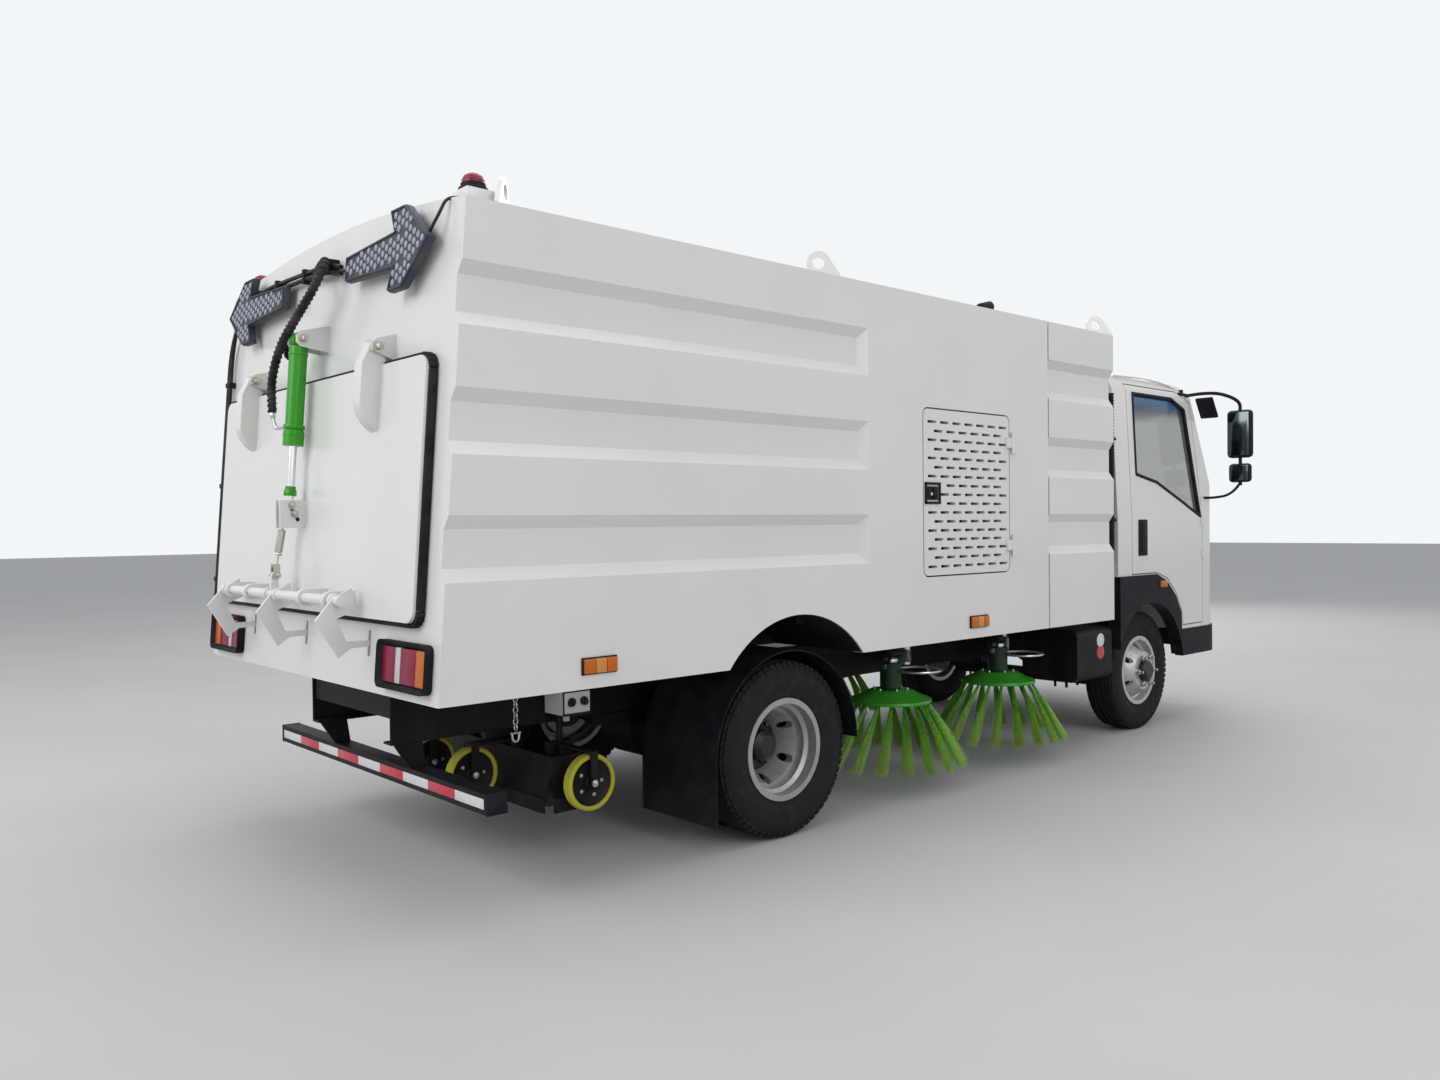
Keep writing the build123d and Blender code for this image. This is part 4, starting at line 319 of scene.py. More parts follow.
@dataclass(frozen=True)
class WheelPaint(Recipe):
    """Silver wheel paint; inside a radius of the axle the hub is black."""

    axle_x: float = REAR_AXLE_X
    hub_radius: float = 0.071

    def lay(self, s: Shader) -> None:
        """Lay the nodes."""
        dx, dz = s.axis("X") - self.axle_x, s.axis("Z") - AXLE_Z
        radius = (dx * dx + dz * dz).power(0.5)
        grime = s.noise(30, 5)
        silver = s.mix(grime.between(0.4, 0.75) * 0.3, self.color, (0.22, 0.20, 0.18))
        outside = radius.between(self.hub_radius, self.hub_radius + 0.002)
        s.set(Base_Color=s.mix(outside, (0.008, 0.008, 0.009), silver))
        s.set(Roughness=0.36 + grime * 0.12, Metallic=outside * 0.55)
        s.bump(s.noise(300, 2), 0.0003, 0.3)


class Glass(Recipe):
    """Tinted cab glass that shows the seats behind it, with a blue band along the top."""

    def lay(self, s: Shader) -> None:
        """Lay the nodes."""
        band = s.axis("Z").between(2.02, 2.14)
        s.set(Base_Color=s.mix(band, self.color, (0.02, 0.20, 0.45)))
        s.set(Roughness=s.noise(7, 4).between(0.4, 0.9) * 0.06 + 0.03, Alpha=0.24 + band * 0.4)


@dataclass(frozen=True)
class Lens(Recipe):
    """Moulded lamp lens with prisms."""

    pitch: float = 260
    glow: float = 0.06

    def lay(self, s: Shader) -> None:
        """Lay the nodes."""
        prisms = s.cells(self.pitch)
        s.set(Base_Color=s.mix(prisms, self.dim(0.6), self.color), Roughness=0.14 + prisms * 0.1)
        s.set(Coat_Weight=0.12, Coat_Roughness=0.05, Specular_IOR_Level=0.3)
        s.set(Emission_Color=self.color, Emission_Strength=self.glow)
        s.bump(prisms, 0.001, 0.6)


class Tape(Recipe):
    """Reflective tape with its cell pattern."""

    def lay(self, s: Shader) -> None:
        """Lay the nodes."""
        cells = s.cells(160).between(0.05, 0.6)
        s.set(Base_Color=s.mix(cells, self.color, self.dim(0.8)))
        s.set(Roughness=0.3 + cells * 0.1, Coat_Weight=0.4)
        s.bump(cells, 0.0003, 0.4)


class Bristle(Recipe):
    """Brush strands: dark green at the disc, yellow-green at the tips, dirty ends."""

    def lay(self, s: Shader) -> None:
        """Lay the nodes."""
        strand = s.noise(260, 1, (1, 1, 0.04)).between(0.3, 0.7)
        along = s.axis("Z") * 2.9 - 0.34 + (strand - 0.5) * 0.8
        stops = (
            (0, (0.20, 0.24, 0.05)), (0.12, (0.36, 0.62, 0.07)), (0.45, (0.16, 0.46, 0.03)), (1, self.color),
        )
        tone = s.node("ShaderNodeValToRGB", {"stops": stops}, {"Fac": along}).outputs[0]
        s.set(Base_Color=tone, Roughness=0.45 + strand * 0.2)


class Fabric(Recipe):
    """Woven seat cloth."""

    def lay(self, s: Shader) -> None:
        """Lay the nodes."""
        waves = []
        for direction in ("X", "Y", "Z"):
            settings = {"wave_type": "BANDS", "bands_direction": direction}
            wave = s.node("ShaderNodeTexWave", settings, {"Vector": s.place, "Scale": 180})
            waves.append(Term(s, wave.outputs[1]))
        weave = (waves[0] + waves[1] + waves[2]) * 0.33
        shade = s.mix(weave, self.dim(0.6), self.dim(1.5))
        s.set(Base_Color=shade, Roughness=0.85 + weave * 0.1, Sheen_Weight=0.3)
        s.bump(weave, 0.0006, 0.6)


class Ground(Recipe):
    """Plain pale floor that keeps the shadow."""

    def lay(self, s: Shader) -> None:
        """Lay the nodes."""
        cloudy = s.noise(0.7, 6)
        s.set(Base_Color=s.mix(cloudy.between(0.3, 0.7), self.dim(0.95), self.color))
        s.set(Roughness=0.75 + cloudy * 0.1)
        s.bump(s.noise(60, 4), 0.001, 0.3)


class Finish(Enum):
    """Every finish on the truck: its recipe and the record's slot that it follows."""

    WHITE = Paint("body_white_paint", (0.71, 0.71, 0.685)), "body_white"
    GREEN = Paint("machine_green_paint", (0.024, 0.30, 0.005), 0.3, 0.2, 0.1, 0.3), "machine_green"
    # A darker copy of the machine green: painted shade for the brush arms under the body.
    ARM_GREEN_SHADED = Paint("arm_green_paint_shaded", (0.004, 0.034, 0.008), 0.45, 0, 0.1, 0.25), "machine_green"
    BLACK = Paint("chassis_black_paint", (0.004, 0.0045, 0.006), 0.5, 0, 0.04, 0.18), "frame_black"
    IRON = BareMetal("engine_casting", (0.12, 0.12, 0.125), 0.55, 0.5, 0.4), "engine_iron"
    ZINC = BareMetal("zinc_plate", (0.52, 0.50, 0.44)), "steel"
    STEEL = BareMetal("bright_steel", (0.62, 0.62, 0.62), 0.24, 0.15), "steel"
    CHROME = BareMetal("hard_chrome", (0.78, 0.78, 0.80), 0.08, 0.05), "rod_chrome"
    MIRROR = BareMetal("mirror_glass", (0.10, 0.12, 0.13), 0.05, 0.1), "rod_chrome"
    # The rear rims' silver is darker than the front's: painted shade inside the rear arches.
    REAR_WHEEL_SHADED = WheelPaint("rear_wheel_silver_shaded", (0.38, 0.385, 0.39), hub_radius=0.116), "rim_silver"
    FRONT_WHEEL = WheelPaint("front_wheel_silver", (0.56, 0.565, 0.57), FRONT_AXLE_X), "rim_silver"
    TYRE = TyreRubber("tyre_rubber", (0.011, 0.011, 0.012)), "tyre"
    GLASS = Glass("cab_glass_tint", (0.03, 0.04, 0.04)), "glass"
    RED_LENS = Lens("red_lens", (0.26, 0.002, 0.035)), "lamp_red"
    AMBER_LENS = Lens("amber_lens", (0.60, 0.13, 0.006)), "lamp_amber"
    AMBER_PALE = Lens("amber_reflector", (0.72, 0.30, 0.06), 420, 0.02), "lamp_amber"
    CLEAR_LENS = Lens("clear_lens", (0.66, 0.66, 0.70), 320, 0), "lamp_clear"
    LED_LENS = Lens("led_lens", (0.40, 0.42, 0.50), 900, 0), "lamp_clear"
    PLASTIC = Plastic("black_plastic", (0.006, 0.007, 0.010), dust=0.025), "plastic_black"
    BOARD = Plastic("board_plastic", (0.055, 0.06, 0.075), 0.4), "plastic_black"
    TRIM = Plastic("grey_trim", (0.12, 0.125, 0.13)), "plastic_grey"
    PANEL_GREY = Plastic("panel_grey", (0.34, 0.35, 0.36), 0.35), "plastic_grey"
    GUARD = Plastic("guard_black", (0.005, 0.006, 0.009), 0.5, 450, 0.03), "guard_rubber"
    RUBBER = Plastic("seal_rubber", (0.010, 0.010, 0.011), 0.6, 900, 0.05), "guard_rubber"
    HOSE = Plastic("hose_wrap", (0.014, 0.014, 0.015), 0.38, 500, 0.1), "guard_rubber"
    YELLOW = Plastic("yellow_rubber", (0.50, 0.46, 0.03), 0.5, 600, 0.2), "wheel_yellow"
    FABRIC = Fabric("seat_cloth", (0.045, 0.05, 0.06)), "seat_fabric"
    BRISTLE = Bristle("brush_strands", (0.02, 0.20, 0.01)), "bristle"
    TAPE_RED = Tape("tape_red", (0.62, 0.012, 0.03)), "frame_black"
    TAPE_WHITE = Tape("tape_white", (0.78, 0.78, 0.80)), "frame_black"
    FLOOR = Ground("pale_floor", (0.52, 0.52, 0.52)), ""

    @property
    def slot(self) -> str:
        """The record's material slot."""
        return self.value[1]


@cache
def material(finish: Finish) -> bpy.types.Material:
    """The finish's material, built once."""
    return finish.value[0].make()


# Shapes

def on_tail(y: float, z: float, out: float) -> Matrix:
    """Place on the rear face.

    Args:
        y: across the truck.
        z: height.
        out: distance from the face.

    Returns:
        A matrix whose local X runs across, local Y up the slope and local Z outwards.
    """
    normal = TAIL_OUT.normalized()
    x = Vector(UP).cross(normal).normalized()
    turn = Matrix((x, normal.cross(x), normal)).transposed().to_4x4()
    return Matrix.Translation(Vector((tail_x(z), y, z)) + TAIL_OUT * out) @ turn


def line_mesh(
    points: Sequence[Point], smooth: bool, resolution: int, radius: float = 0.0, sides: int = 0
) -> bpy.types.Mesh:
    """Mesh of a line, or of a pipe round it.

    Args:
        points: its control points.
        smooth: a curve, or straight from point to point.
        resolution: steps between two points.
        radius: the pipe's.
        sides: how finely the pipe is rounded.

    Returns:
        The mesh.
    """
    curve = bpy.data.curves.new("pipe", "CURVE")
    curve.dimensions, curve.use_fill_caps, curve.resolution_u = "3D", True, resolution
    curve.bevel_depth, curve.bevel_resolution = radius, sides
    spline = curve.splines.new("NURBS" if smooth else "POLY")
    spline.points.add(len(points) - 1)
    for at, point in zip(spline.points, points):
        at.co = (*point, 1)
    if smooth:
        spline.order_u, spline.use_endpoint_u = 3, True
    holder = bpy.data.objects.new("pipe", curve)
    made = bpy.data.meshes.new_from_object(holder)
    bpy.data.objects.remove(holder)
    bpy.data.curves.remove(curve)
    return made


def placed(name: str, data: bpy.types.ID) -> bpy.types.Object:
    """Put data in the scene as an object."""
    thing = bpy.data.objects.new(name, data)
    bpy.context.scene.collection.objects.link(thing)
    return thing


class Form:
    """One piece in the making: a bmesh shaped by operators."""

    def __init__(self) -> None:
        """Start empty."""
        self.mesh = bmesh.new()

    def geometry(self) -> list:
        """All that the form holds."""
        return self.mesh.verts[:] + self.mesh.edges[:] + self.mesh.faces[:]

    def data(self, name: str) -> bpy.types.Mesh:
        """The form as mesh data."""
        made = bpy.data.meshes.new(name)
        self.mesh.to_mesh(made)
        return made

    def join(self, other: "Form", move: Point = (0, 0, 0)) -> "Form":
        """Add another form, or this one again, moved."""
        data = other.data("part")
        data.transform(Matrix.Translation(Vector(move)))
        self.mesh.from_mesh(data)
        bpy.data.meshes.remove(data)
        return self

    def _soften(self, verts: Iterable[bmesh.types.BMVert], radius: float) -> "Form":
        """Round every edge between these vertices that turns sharply."""
        if radius > 0:
            edges = dict.fromkeys(e for v in verts for e in v.link_edges if len(e.link_faces) == 2)
            bmesh.ops.bevel(
                self.mesh, geom=[e for e in edges if e.calc_face_angle(0) > 0.5], offset=radius,
                offset_type="OFFSET", segments=2, profile=0.5, affect="EDGES", clamp_overlap=True,
                material=-1,
            )
        return self

    def block(self, size: Point, centre: Point, soft: float = 0.0, turn: Optional[Matrix] = None) -> "Form":
        """Add a block; soft is the radius of its edges, and it turns about its middle."""
        turned = Matrix.Translation(Vector(centre)) @ (turn or Matrix.Identity(4))
        place = turned @ Matrix.Diagonal((*size, 1))
        return self._soften(bmesh.ops.create_cube(self.mesh, size=1, matrix=place)["verts"], soft)

    def rod(
        self, start: Point, end: Point, radius: float, sides: int = 16, tip: Optional[float] = None,
        soft: float = 0.0,
    ) -> "Form":
        """Add a round bar or cone.

        Args:
            start: the middle of its first end.
            end: the middle of the other.
            radius: at the start.
            sides: faces round it.
            tip: radius at the end, where it differs.
            soft: radius of its edges.

        Returns:
            The form.
        """
        a, b = Vector(start), Vector(end)
        place = Matrix.Translation((a + b) / 2) @ (b - a).to_track_quat("Z", "Y").to_matrix().to_4x4()
        made = bmesh.ops.create_cone(
            self.mesh, cap_ends=True, segments=sides, radius1=radius, radius2=radius if tip is None else tip,
            depth=(b - a).length, matrix=place,
        )
        return self._soften(made["verts"], soft)

    def ball(self, centre: Point, radius: float, stretch: Point = (1, 1, 1), rings: int = 10) -> "Form":
        """Add a ball, stretched along the axes."""
        place = Matrix.Translation(Vector(centre)) @ Matrix.Diagonal((*stretch, 1))
        bmesh.ops.create_uvsphere(
            self.mesh, u_segments=2 * rings, v_segments=rings, radius=radius, matrix=place
        )
        return self

    def tray(self, size: Point, place: Matrix, corner: float, rim: float, deep: float) -> "Form":
        """Add a block with rounded upright edges, its top sunk inside a rim.

        Args:
            size: its lengths in the place's axes.
            place: the middle of its foot.
            corner: radius of the upright edges.
            rim: width of the rim.
            deep: how far the top is sunk.

        Returns:
            The form.
        """
        at = place @ Matrix.Translation((0, 0, size[2] / 2)) @ Matrix.Diagonal((*size, 1))
        verts = bmesh.ops.create_cube(self.mesh, size=1, matrix=at)["verts"]
        up = (place.to_3x3() @ Vector(UP)).normalized()
        edges = dict.fromkeys(edge for vert in verts for edge in vert.link_edges)
        upright = [e for e in edges if abs((e.verts[0].co - e.verts[1].co).normalized().dot(up)) > 0.9]
        made = bmesh.ops.bevel(
            self.mesh, geom=upright, offset=corner, segments=5, profile=0.5, affect="EDGES", material=-1
        )
        faces = dict.fromkeys(face for vert in made["verts"] for face in vert.link_faces)
        level = [face for face in faces if face.normal.dot(up) > 0.9]
        top = max(level, key=lambda face: face.calc_center_median().dot(up))
        bmesh.ops.inset_region(self.mesh, faces=[top], thickness=rim, use_even_offset=True)
        bmesh.ops.translate(self.mesh, verts=top.verts[:], vec=-up * deep)
        return self._soften(made["verts"], 0.003)

    def plate(self, outline: Sequence[Point], place: Matrix, thickness: float, soft: float) -> "Form":
        """Add a flat plate.

        Args:
            outline: its corners in the place's own X and Y.
            place: its foot; the plate grows along its Z.
            thickness: how far it grows.
            soft: radius of its edges.

        Returns:
            The form.
        """
        verts = [self.mesh.verts.new(place @ Vector((x, y, 0))) for x, y in outline]
        grown = bmesh.ops.extrude_face_region(self.mesh, geom=[self.mesh.faces.new(verts)])["geom"]
        moved = [g for g in grown if isinstance(g, bmesh.types.BMVert)]
        bmesh.ops.translate(self.mesh, verts=moved, vec=place.to_3x3() @ Vector((0, 0, thickness)))
        return self._soften(verts + moved, soft)

    def spun(
        self, outline: Sequence[Point], centre: Point, axis: Point, steps: int = 48, closed: bool = True
    ) -> "Form":
        """Add a turned shape.

        Args:
            outline: (along the axis, radius) points.
            centre: where along is 0.
            axis: its direction.
            steps: faces round it.
            closed: join the last point to the first.

        Returns:
            The form.
        """
        a = Vector(axis).normalized()
        side = a.orthogonal().normalized()
        verts = [self.mesh.verts.new(Vector(centre) + a * along + side * radius) for along, radius in outline]
        pairs = list(zip(verts, verts[1:])) + ([(verts[-1], verts[0])] if closed else [])
        edges = [self.mesh.edges.new(pair) for pair in pairs]
        bmesh.ops.spin(
            self.mesh, geom=verts + edges, cent=Vector(centre), axis=a, angle=2 * math.pi, steps=steps,
            use_merge=True,
        )
        return self

    def tube(self, points: Sequence[Point], radius: float, smooth: bool = True, sides: int = 3) -> "Form":
        """Add a pipe along a line of control points."""
        made = line_mesh(points, smooth, 6, radius, sides)
        self.mesh.from_mesh(made)
        bpy.data.meshes.remove(made)
        return self

    def around(self, centre: Point, axis: Point, count: int) -> "Form":
        """Repeat all that the form holds, count times round an axis."""
        bmesh.ops.spin(
            self.mesh, geom=self.geometry(), cent=Vector(centre), axis=Vector(axis),
            angle=2 * math.pi * (count - 1) / count, steps=count - 1, use_duplicate=True,
        )
        return self

    def finish(
        self, name: str, finish: Finish, body: Optional[str] = "chassis", replaces: Sequence[str] = (),
        smooth: float = 40, weld: bool = True,
    ) -> bpy.types.Object:
        """Turn the form into a piece of the truck.

        Args:
            name: the piece's name.
            finish: its finish.
            body: the CAD body that it rides on, or None for a piece that rides on no body.
            replaces: the CAD nodes that it stands for.
            smooth: largest angle in degrees that is shaded smooth.
            weld: merge doubles first.

        Returns:
            The object.
        """
        if weld:
            bmesh.ops.remove_doubles(self.mesh, verts=self.mesh.verts[:], dist=2e-5)
        bmesh.ops.recalc_face_normals(self.mesh, faces=self.mesh.faces[:])
        for face in self.mesh.faces:
            face.smooth = True
        for edge in self.mesh.edges:
            edge.smooth = edge.calc_face_angle(0) < math.radians(smooth)
        piece = placed(name, self.data(name))
        self.mesh.free()
        piece.data.materials.append(material(finish))
        if body:
            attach(piece, body)
        if replaces:
            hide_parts(*replaces)
        LOG.info("%s: %d faces", name, len(piece.data.polygons))
        return piece


def dress(finish: Finish, *nodes: str) -> None:
    """Give CAD nodes a finish as they are."""
    for node in nodes:
        materials = frame["nodes"][node].data.materials
        materials.clear()
        materials.append(material(finish))


def united(node: str) -> bpy.types.Mesh:
    """Mesh of a node whose panels touch, without the faces between them.

    Args:
        node: the node.

    Returns:
        The mesh.
    """
    piece = placed(f"{node}_united", frame["nodes"][node].data.copy())
    for other in bpy.context.selected_objects:
        other.select_set(False)
    piece.select_set(True)
    bpy.context.view_layer.objects.active = piece
    bpy.ops.object.mode_set(mode="EDIT")
    bpy.ops.mesh.select_all(action="SELECT")
    bpy.ops.mesh.intersect_boolean(operation="UNION", use_self=True, solver="EXACT")
    bpy.ops.object.mode_set(mode="OBJECT")
    skin = piece.data
    bpy.data.objects.remove(piece)
    return skin


def soften(node: str, finish: Finish, radius: float, segments: int = 2, panels: bool = False) -> None:
    """Stand a copy with rounded edges in for a CAD node, on the body of its name or the chassis.

    Args:
        node: the node that the copy replaces.
        finish: its finish.
        radius: of the rounded edges.
        segments: faces across each rounded edge.
        panels: unite touching panels first.
    """
    form = Form()
    form.mesh.from_mesh(united(node) if panels else frame["nodes"][node].data)
    bmesh.ops.remove_doubles(form.mesh, verts=form.mesh.verts[:], dist=1e-5)
    verts = [vert for vert in form.mesh.verts if vert.is_manifold]
    edges = [e for e in form.mesh.edges if e.is_manifold and all(v.is_manifold for v in e.verts)]
    bmesh.ops.dissolve_limit(form.mesh, angle_limit=math.radians(0.6), verts=verts, edges=edges)
    body = node if node in frame["bodies"] else "chassis"
    bevel = form.finish(f"{node}_dressed", finish, body, [node], 30, False).modifiers.new("softened", "BEVEL")
    bevel.width, bevel.segments, bevel.limit_method = radius, segments, "ANGLE"
    bevel.angle_limit, bevel.harden_normals, bevel.use_clamp_overlap = math.radians(32), True, True


def bolts(
    name: str, places: Sequence[tuple], size: float, body: str = "chassis", finish: Finish = Finish.ZINC
) -> None:
    """Bolt heads with washers.

    Args:
        name: the piece's name.
        places: (point, outward direction) of each bolt.
        size: across the head.
        body: the body that they ride on.
        finish: their finish.
    """
    form = Form()
    for at, way in places:
        a, n = Vector(at), Vector(way).normalized()
        form.rod(a - n * 0.002, a + n * size * 0.12, size * 0.8, 16)
        form.rod(a + n * size * 0.12, a + n * size * 0.6, size * 0.55, 6, soft=size * 0.05)
        form.rod(a + n * size * 0.6, a + n * size * 0.85, size * 0.28, 10)
    form.finish(name, finish, body)


# The truck's sub-assemblies

@dataclass
class Stage:
    """Floor, light and the camera of the photograph."""

    camera_at: Point = (-4.66855, -4.28584, 1.34843)
    yaw: float = 47.82
    pitch: float = -0.81
    roll: float = 0.58
    lens: float = 27.358
    sensor: float = 36
    far: float = 300
    floor_size: float = 60
    sky_light: tuple = ((0.93, 0.96, 1.0), 0.55)
    backdrop: Point = (0.90, 0.92, 0.94)
    lamps: Sequence[tuple] = (
        ("rear_key", (-11, 0.5, 6.5), (-3, 0, 1.2), 7, 520),
        ("side_fill", (-2, -11, 6), (-0.5, -1, 1), 7, 330),
        ("top_soft", (0, 0, 10), (0, 0, 0), 9, 330),
        ("front_fill", (10, 5, 6), (1, 0, 1), 7, 300),
    )

    def build(self) -> None:
        """Lay the floor and light it; the rear is a little brighter than the side."""
        form = Form()
        bmesh.ops.create_grid(form.mesh, x_segments=1, y_segments=1, size=self.floor_size)
        floor = placed("floor", form.data("floor"))
        floor.data.materials.append(material(Finish.FLOOR))
        self.sky()
        for name, at, target, size, power in self.lamps:
            data = bpy.data.lights.new(name, "AREA")
            data.size, data.energy = size, power
            lamp = placed(name, data)
            lamp.location = at
            lamp.rotation_euler = (Vector(target) - Vector(at)).to_track_quat("-Z", "Y").to_euler()
        self.camera()

    def sky(self) -> None:
        """Soft grey light, and a pale backdrop for camera, gloss and glass."""
        world = bpy.data.worlds.new("studio")
        bpy.context.scene.world = world
        s = Shader(world)
        light = s.tree.nodes["Background"]
        for socket, value in zip(("Color", "Strength"), self.sky_light):
            s.put(light.inputs[socket], value)
        backdrop = s.node("ShaderNodeBackground", {}, {"Color": self.backdrop})
        rays = s.node("ShaderNodeLightPath").outputs
        kinds = ("Camera", "Glossy", "Transmission")
        camera, gloss, glass = (Term(s, rays[f"Is {kind} Ray"]) for kind in kinds)
        seen = camera.greatest(gloss).greatest(glass)
        mix = s.node("ShaderNodeMixShader", {}, {0: seen, 1: light.outputs[0], 2: backdrop.outputs[0]})
        s.put(s.tree.nodes["World Output"].inputs[0], mix.outputs[0])

    def camera(self) -> None:
        """The camera at the photograph's place, turn and focal length."""
        yaw, pitch, roll = (math.radians(a) for a in (self.yaw, self.pitch, self.roll))
        ahead = Vector((math.cos(pitch) * math.cos(yaw), math.cos(pitch) * math.sin(yaw), math.sin(pitch)))
        right = Vector((math.sin(yaw), -math.cos(yaw), 0))
        down = ahead.cross(right)
        cos, sin = math.cos(roll), math.sin(roll)
        right, down = cos * right + sin * down, cos * down - sin * right
        data = bpy.data.cameras.new("photo_camera")
        data.lens, data.clip_end = self.lens, self.far
        data.sensor_width, data.sensor_fit = self.sensor, "HORIZONTAL"
        camera = placed("photo_camera", data)
        turn = Matrix((right, -down, -ahead)).transposed().to_4x4()
        camera.matrix_world = Matrix.Translation(Vector(self.camera_at)) @ turn
        bpy.context.scene.camera = camera
        bpy.context.scene.view_settings.view_transform = "Standard"


@dataclass
class Body:
    """Hopper body, tank module and their trim."""

    seam_x: float = REAR_AXLE_X + 1.951
    exhaust: Point = (REAR_AXLE_X + 1.70, -0.86)
    edge: float = 0.004

    def build(self) -> None:
        """Dress the shells; add the tank's seam, the floor's beams, the roof's welds and its exhaust."""
        soften("hopper_body", Finish.WHITE, self.edge, panels=True)
        soften("water_tank", Finish.WHITE, self.edge)
        seam, beams, beads, pipe = Form(), Form(), Form(), Form()
        for sign in SIGNS:
            seam.block((0.008, 0.02, 1.62), (self.seam_x, sign * (BODY_SIDE_Y - 0.045), 1.59))
        seam.finish("tank_seam_seal", Finish.RUBBER)
        for index in range(7):
            beams.block((0.05, 1.9, 0.06), (REAR_AXLE_X - 1.41 + index * 0.52, 0, 0.94), 0.004)
        beams.finish("floor_beams", Finish.BLACK)
        for x in (-2.28, -1.18, -0.08):
            across = [BODY_SIDE_Y * (2 * i / 12 - 1) * 0.97 for i in range(13)]
            beads.tube([(x, y, roof_z(y) + 0.001) for y in across], 0.003)
        beads.finish("roof_weld_beads", Finish.WHITE)
        x, y = self.exhaust
        for start, low, end, high, radius, sides in (
            (0, -0.01, 0, 0.045, 0.034, 24), (0, -0.002, 0, 0.006, 0.058, 24),
            (-0.04, 0.034, 0.05, 0.058, 0.030, 20),
        ):
            ends = (x + start, y, roof_z(y) + low), (x + end, y, roof_z(y) + high)
            pipe.rod(*ends, radius, sides, soft=0.002)
        pipe.finish("roof_exhaust", Finish.PLASTIC)


@dataclass
class VentDoor:
    """A slotted vent door: softened panel, latch and screws."""

    side: str
    sign: int
    latch: Point = (REAR_AXLE_X + 0.9165, 1.488)
    wide: float = 0.119
    tall: float = 0.104

    def build(self) -> None:
        """Dress the door and set its latch in."""
        body = f"vent_door_{self.side}"
        soften(body, Finish.WHITE, 0.0015, 1)
        (x, z), y, out, w, h = self.latch, self.sign * (BODY_SIDE_Y + 0.0005), self.sign, self.wide, self.tall
        ring = Form()
        for dx, dz, sx, sz in (
            (0, h / 2 - 0.006, w, 0.012), (0, 0.006 - h / 2, w, 0.012),
            (w / 2 - 0.006, 0, 0.012, h), (0.006 - w / 2, 0, 0.012, h),
        ):
            ring.block((sx, 0.008, sz), (x + dx, y + out * 0.004, z + dz), 0.0015)
        ring.block((w * 0.66, 0.006, h * 0.62), (x, y + out * 0.003, z), 0.002)
        ring.block((w * 0.26, 0.012, h * 0.5), (x + 0.012, y + out * 0.008, z), 0.003)
        ring.finish(f"vent_latch_{self.side}", Finish.PLASTIC, body)
        lock = Form().rod((x - 0.02, y, z - 0.004), (x - 0.02, y + out * 0.013, z - 0.004), 0.008)
        lock.finish(f"vent_lock_{self.side}", Finish.STEEL, body)
        screws = [((REAR_AXLE_X + 1.587, out * (BODY_SIDE_Y + 0.006), hinge + dz), (0, out, 0))
                  for hinge in (1.227, 1.756) for dz in (-0.04, 0.04)]
        bolts(f"vent_hinge_screws_{self.side}", screws, 0.008, finish=Finish.STEEL)


@dataclass
class TailDoor:
    """The lifting rear door with its rubber seal, whose black band also paints the shade in the gap, and its
    hinge pins.
    """

    half_width: float = 0.959
    low_z: float = 1.03
    high_z: float = 1.92
    depth: float = 0.030
    corner: float = 0.041

    def build(self) -> None:
        """Dress the door, seal it with a black band that is partly painted shade, and put a washer, a pin
        head and a split pin at both hinges.
        """
        soften("tail_door", Finish.WHITE, 0.004, panels=True)
        self.seal_and_shade_strip()
        form = Form()
        for y in (-0.598, 0.598):
            for sign in SIGNS:
                face = off_tail(0.065, y, 1.984) + Vector((0, sign * 0.043, 0))
                form.rod(face, face + Vector((0, sign * 0.004, 0)), 0.021, 20)
                form.rod(face, face + Vector((0, sign * 0.014, 0)), 0.013, 6, soft=0.001)
                out = sign * 0.01
                form.tube(line(face, (-0.022, out, -0.012), (0, out, 0), (0.02, out, 0.014)), 0.002)
        form.finish("hinge_pin_heads", Finish.ZINC)

    def seal_and_shade_strip(self) -> None:
        """Black rubber round the door's edge, from the skin back towards the body: partly the seal, partly
        painted shade in the gap between door and body.
        """
        form, deep, w = Form(), self.depth, self.half_width
        turn = Matrix.Rotation(TAIL_SLOPE, 4, "Y")
        tall = (self.high_z - self.low_z) / math.cos(TAIL_SLOPE)
        middle_z, out = (self.low_z + self.high_z) / 2, 0.002 + deep / 2
        ends = ((self.low_z, 1), (self.high_z, -1))
        for sign in SIGNS:
            form.block((deep, 0.022, tall - 0.09), off_tail(out, sign * (w + 0.004), middle_z), 0.004, turn)
        for z, step in ends:
            form.block((deep, 2 * w - 0.08, 0.022), off_tail(out, 0, z - step * 0.004), 0.004, turn)
        for sign in SIGNS:
            for z, step in ends:
                centre = off_tail(out, sign * (w - self.corner), z + step * self.corner)
                for piece in range(4):
                    angle = math.radians((0 if sign > 0 else 180) + sign * (11.25 + 22.5 * piece) * (-step))
                    y, rise = math.cos(angle) * 0.045, math.sin(angle) * 0.045
                    form.rod(*line(centre, (-deep / 2, y, rise), (deep / 2, y, rise)), 0.0115, 10)
        form.finish("tail_door_seal_and_shade", Finish.RUBBER, "tail_door")


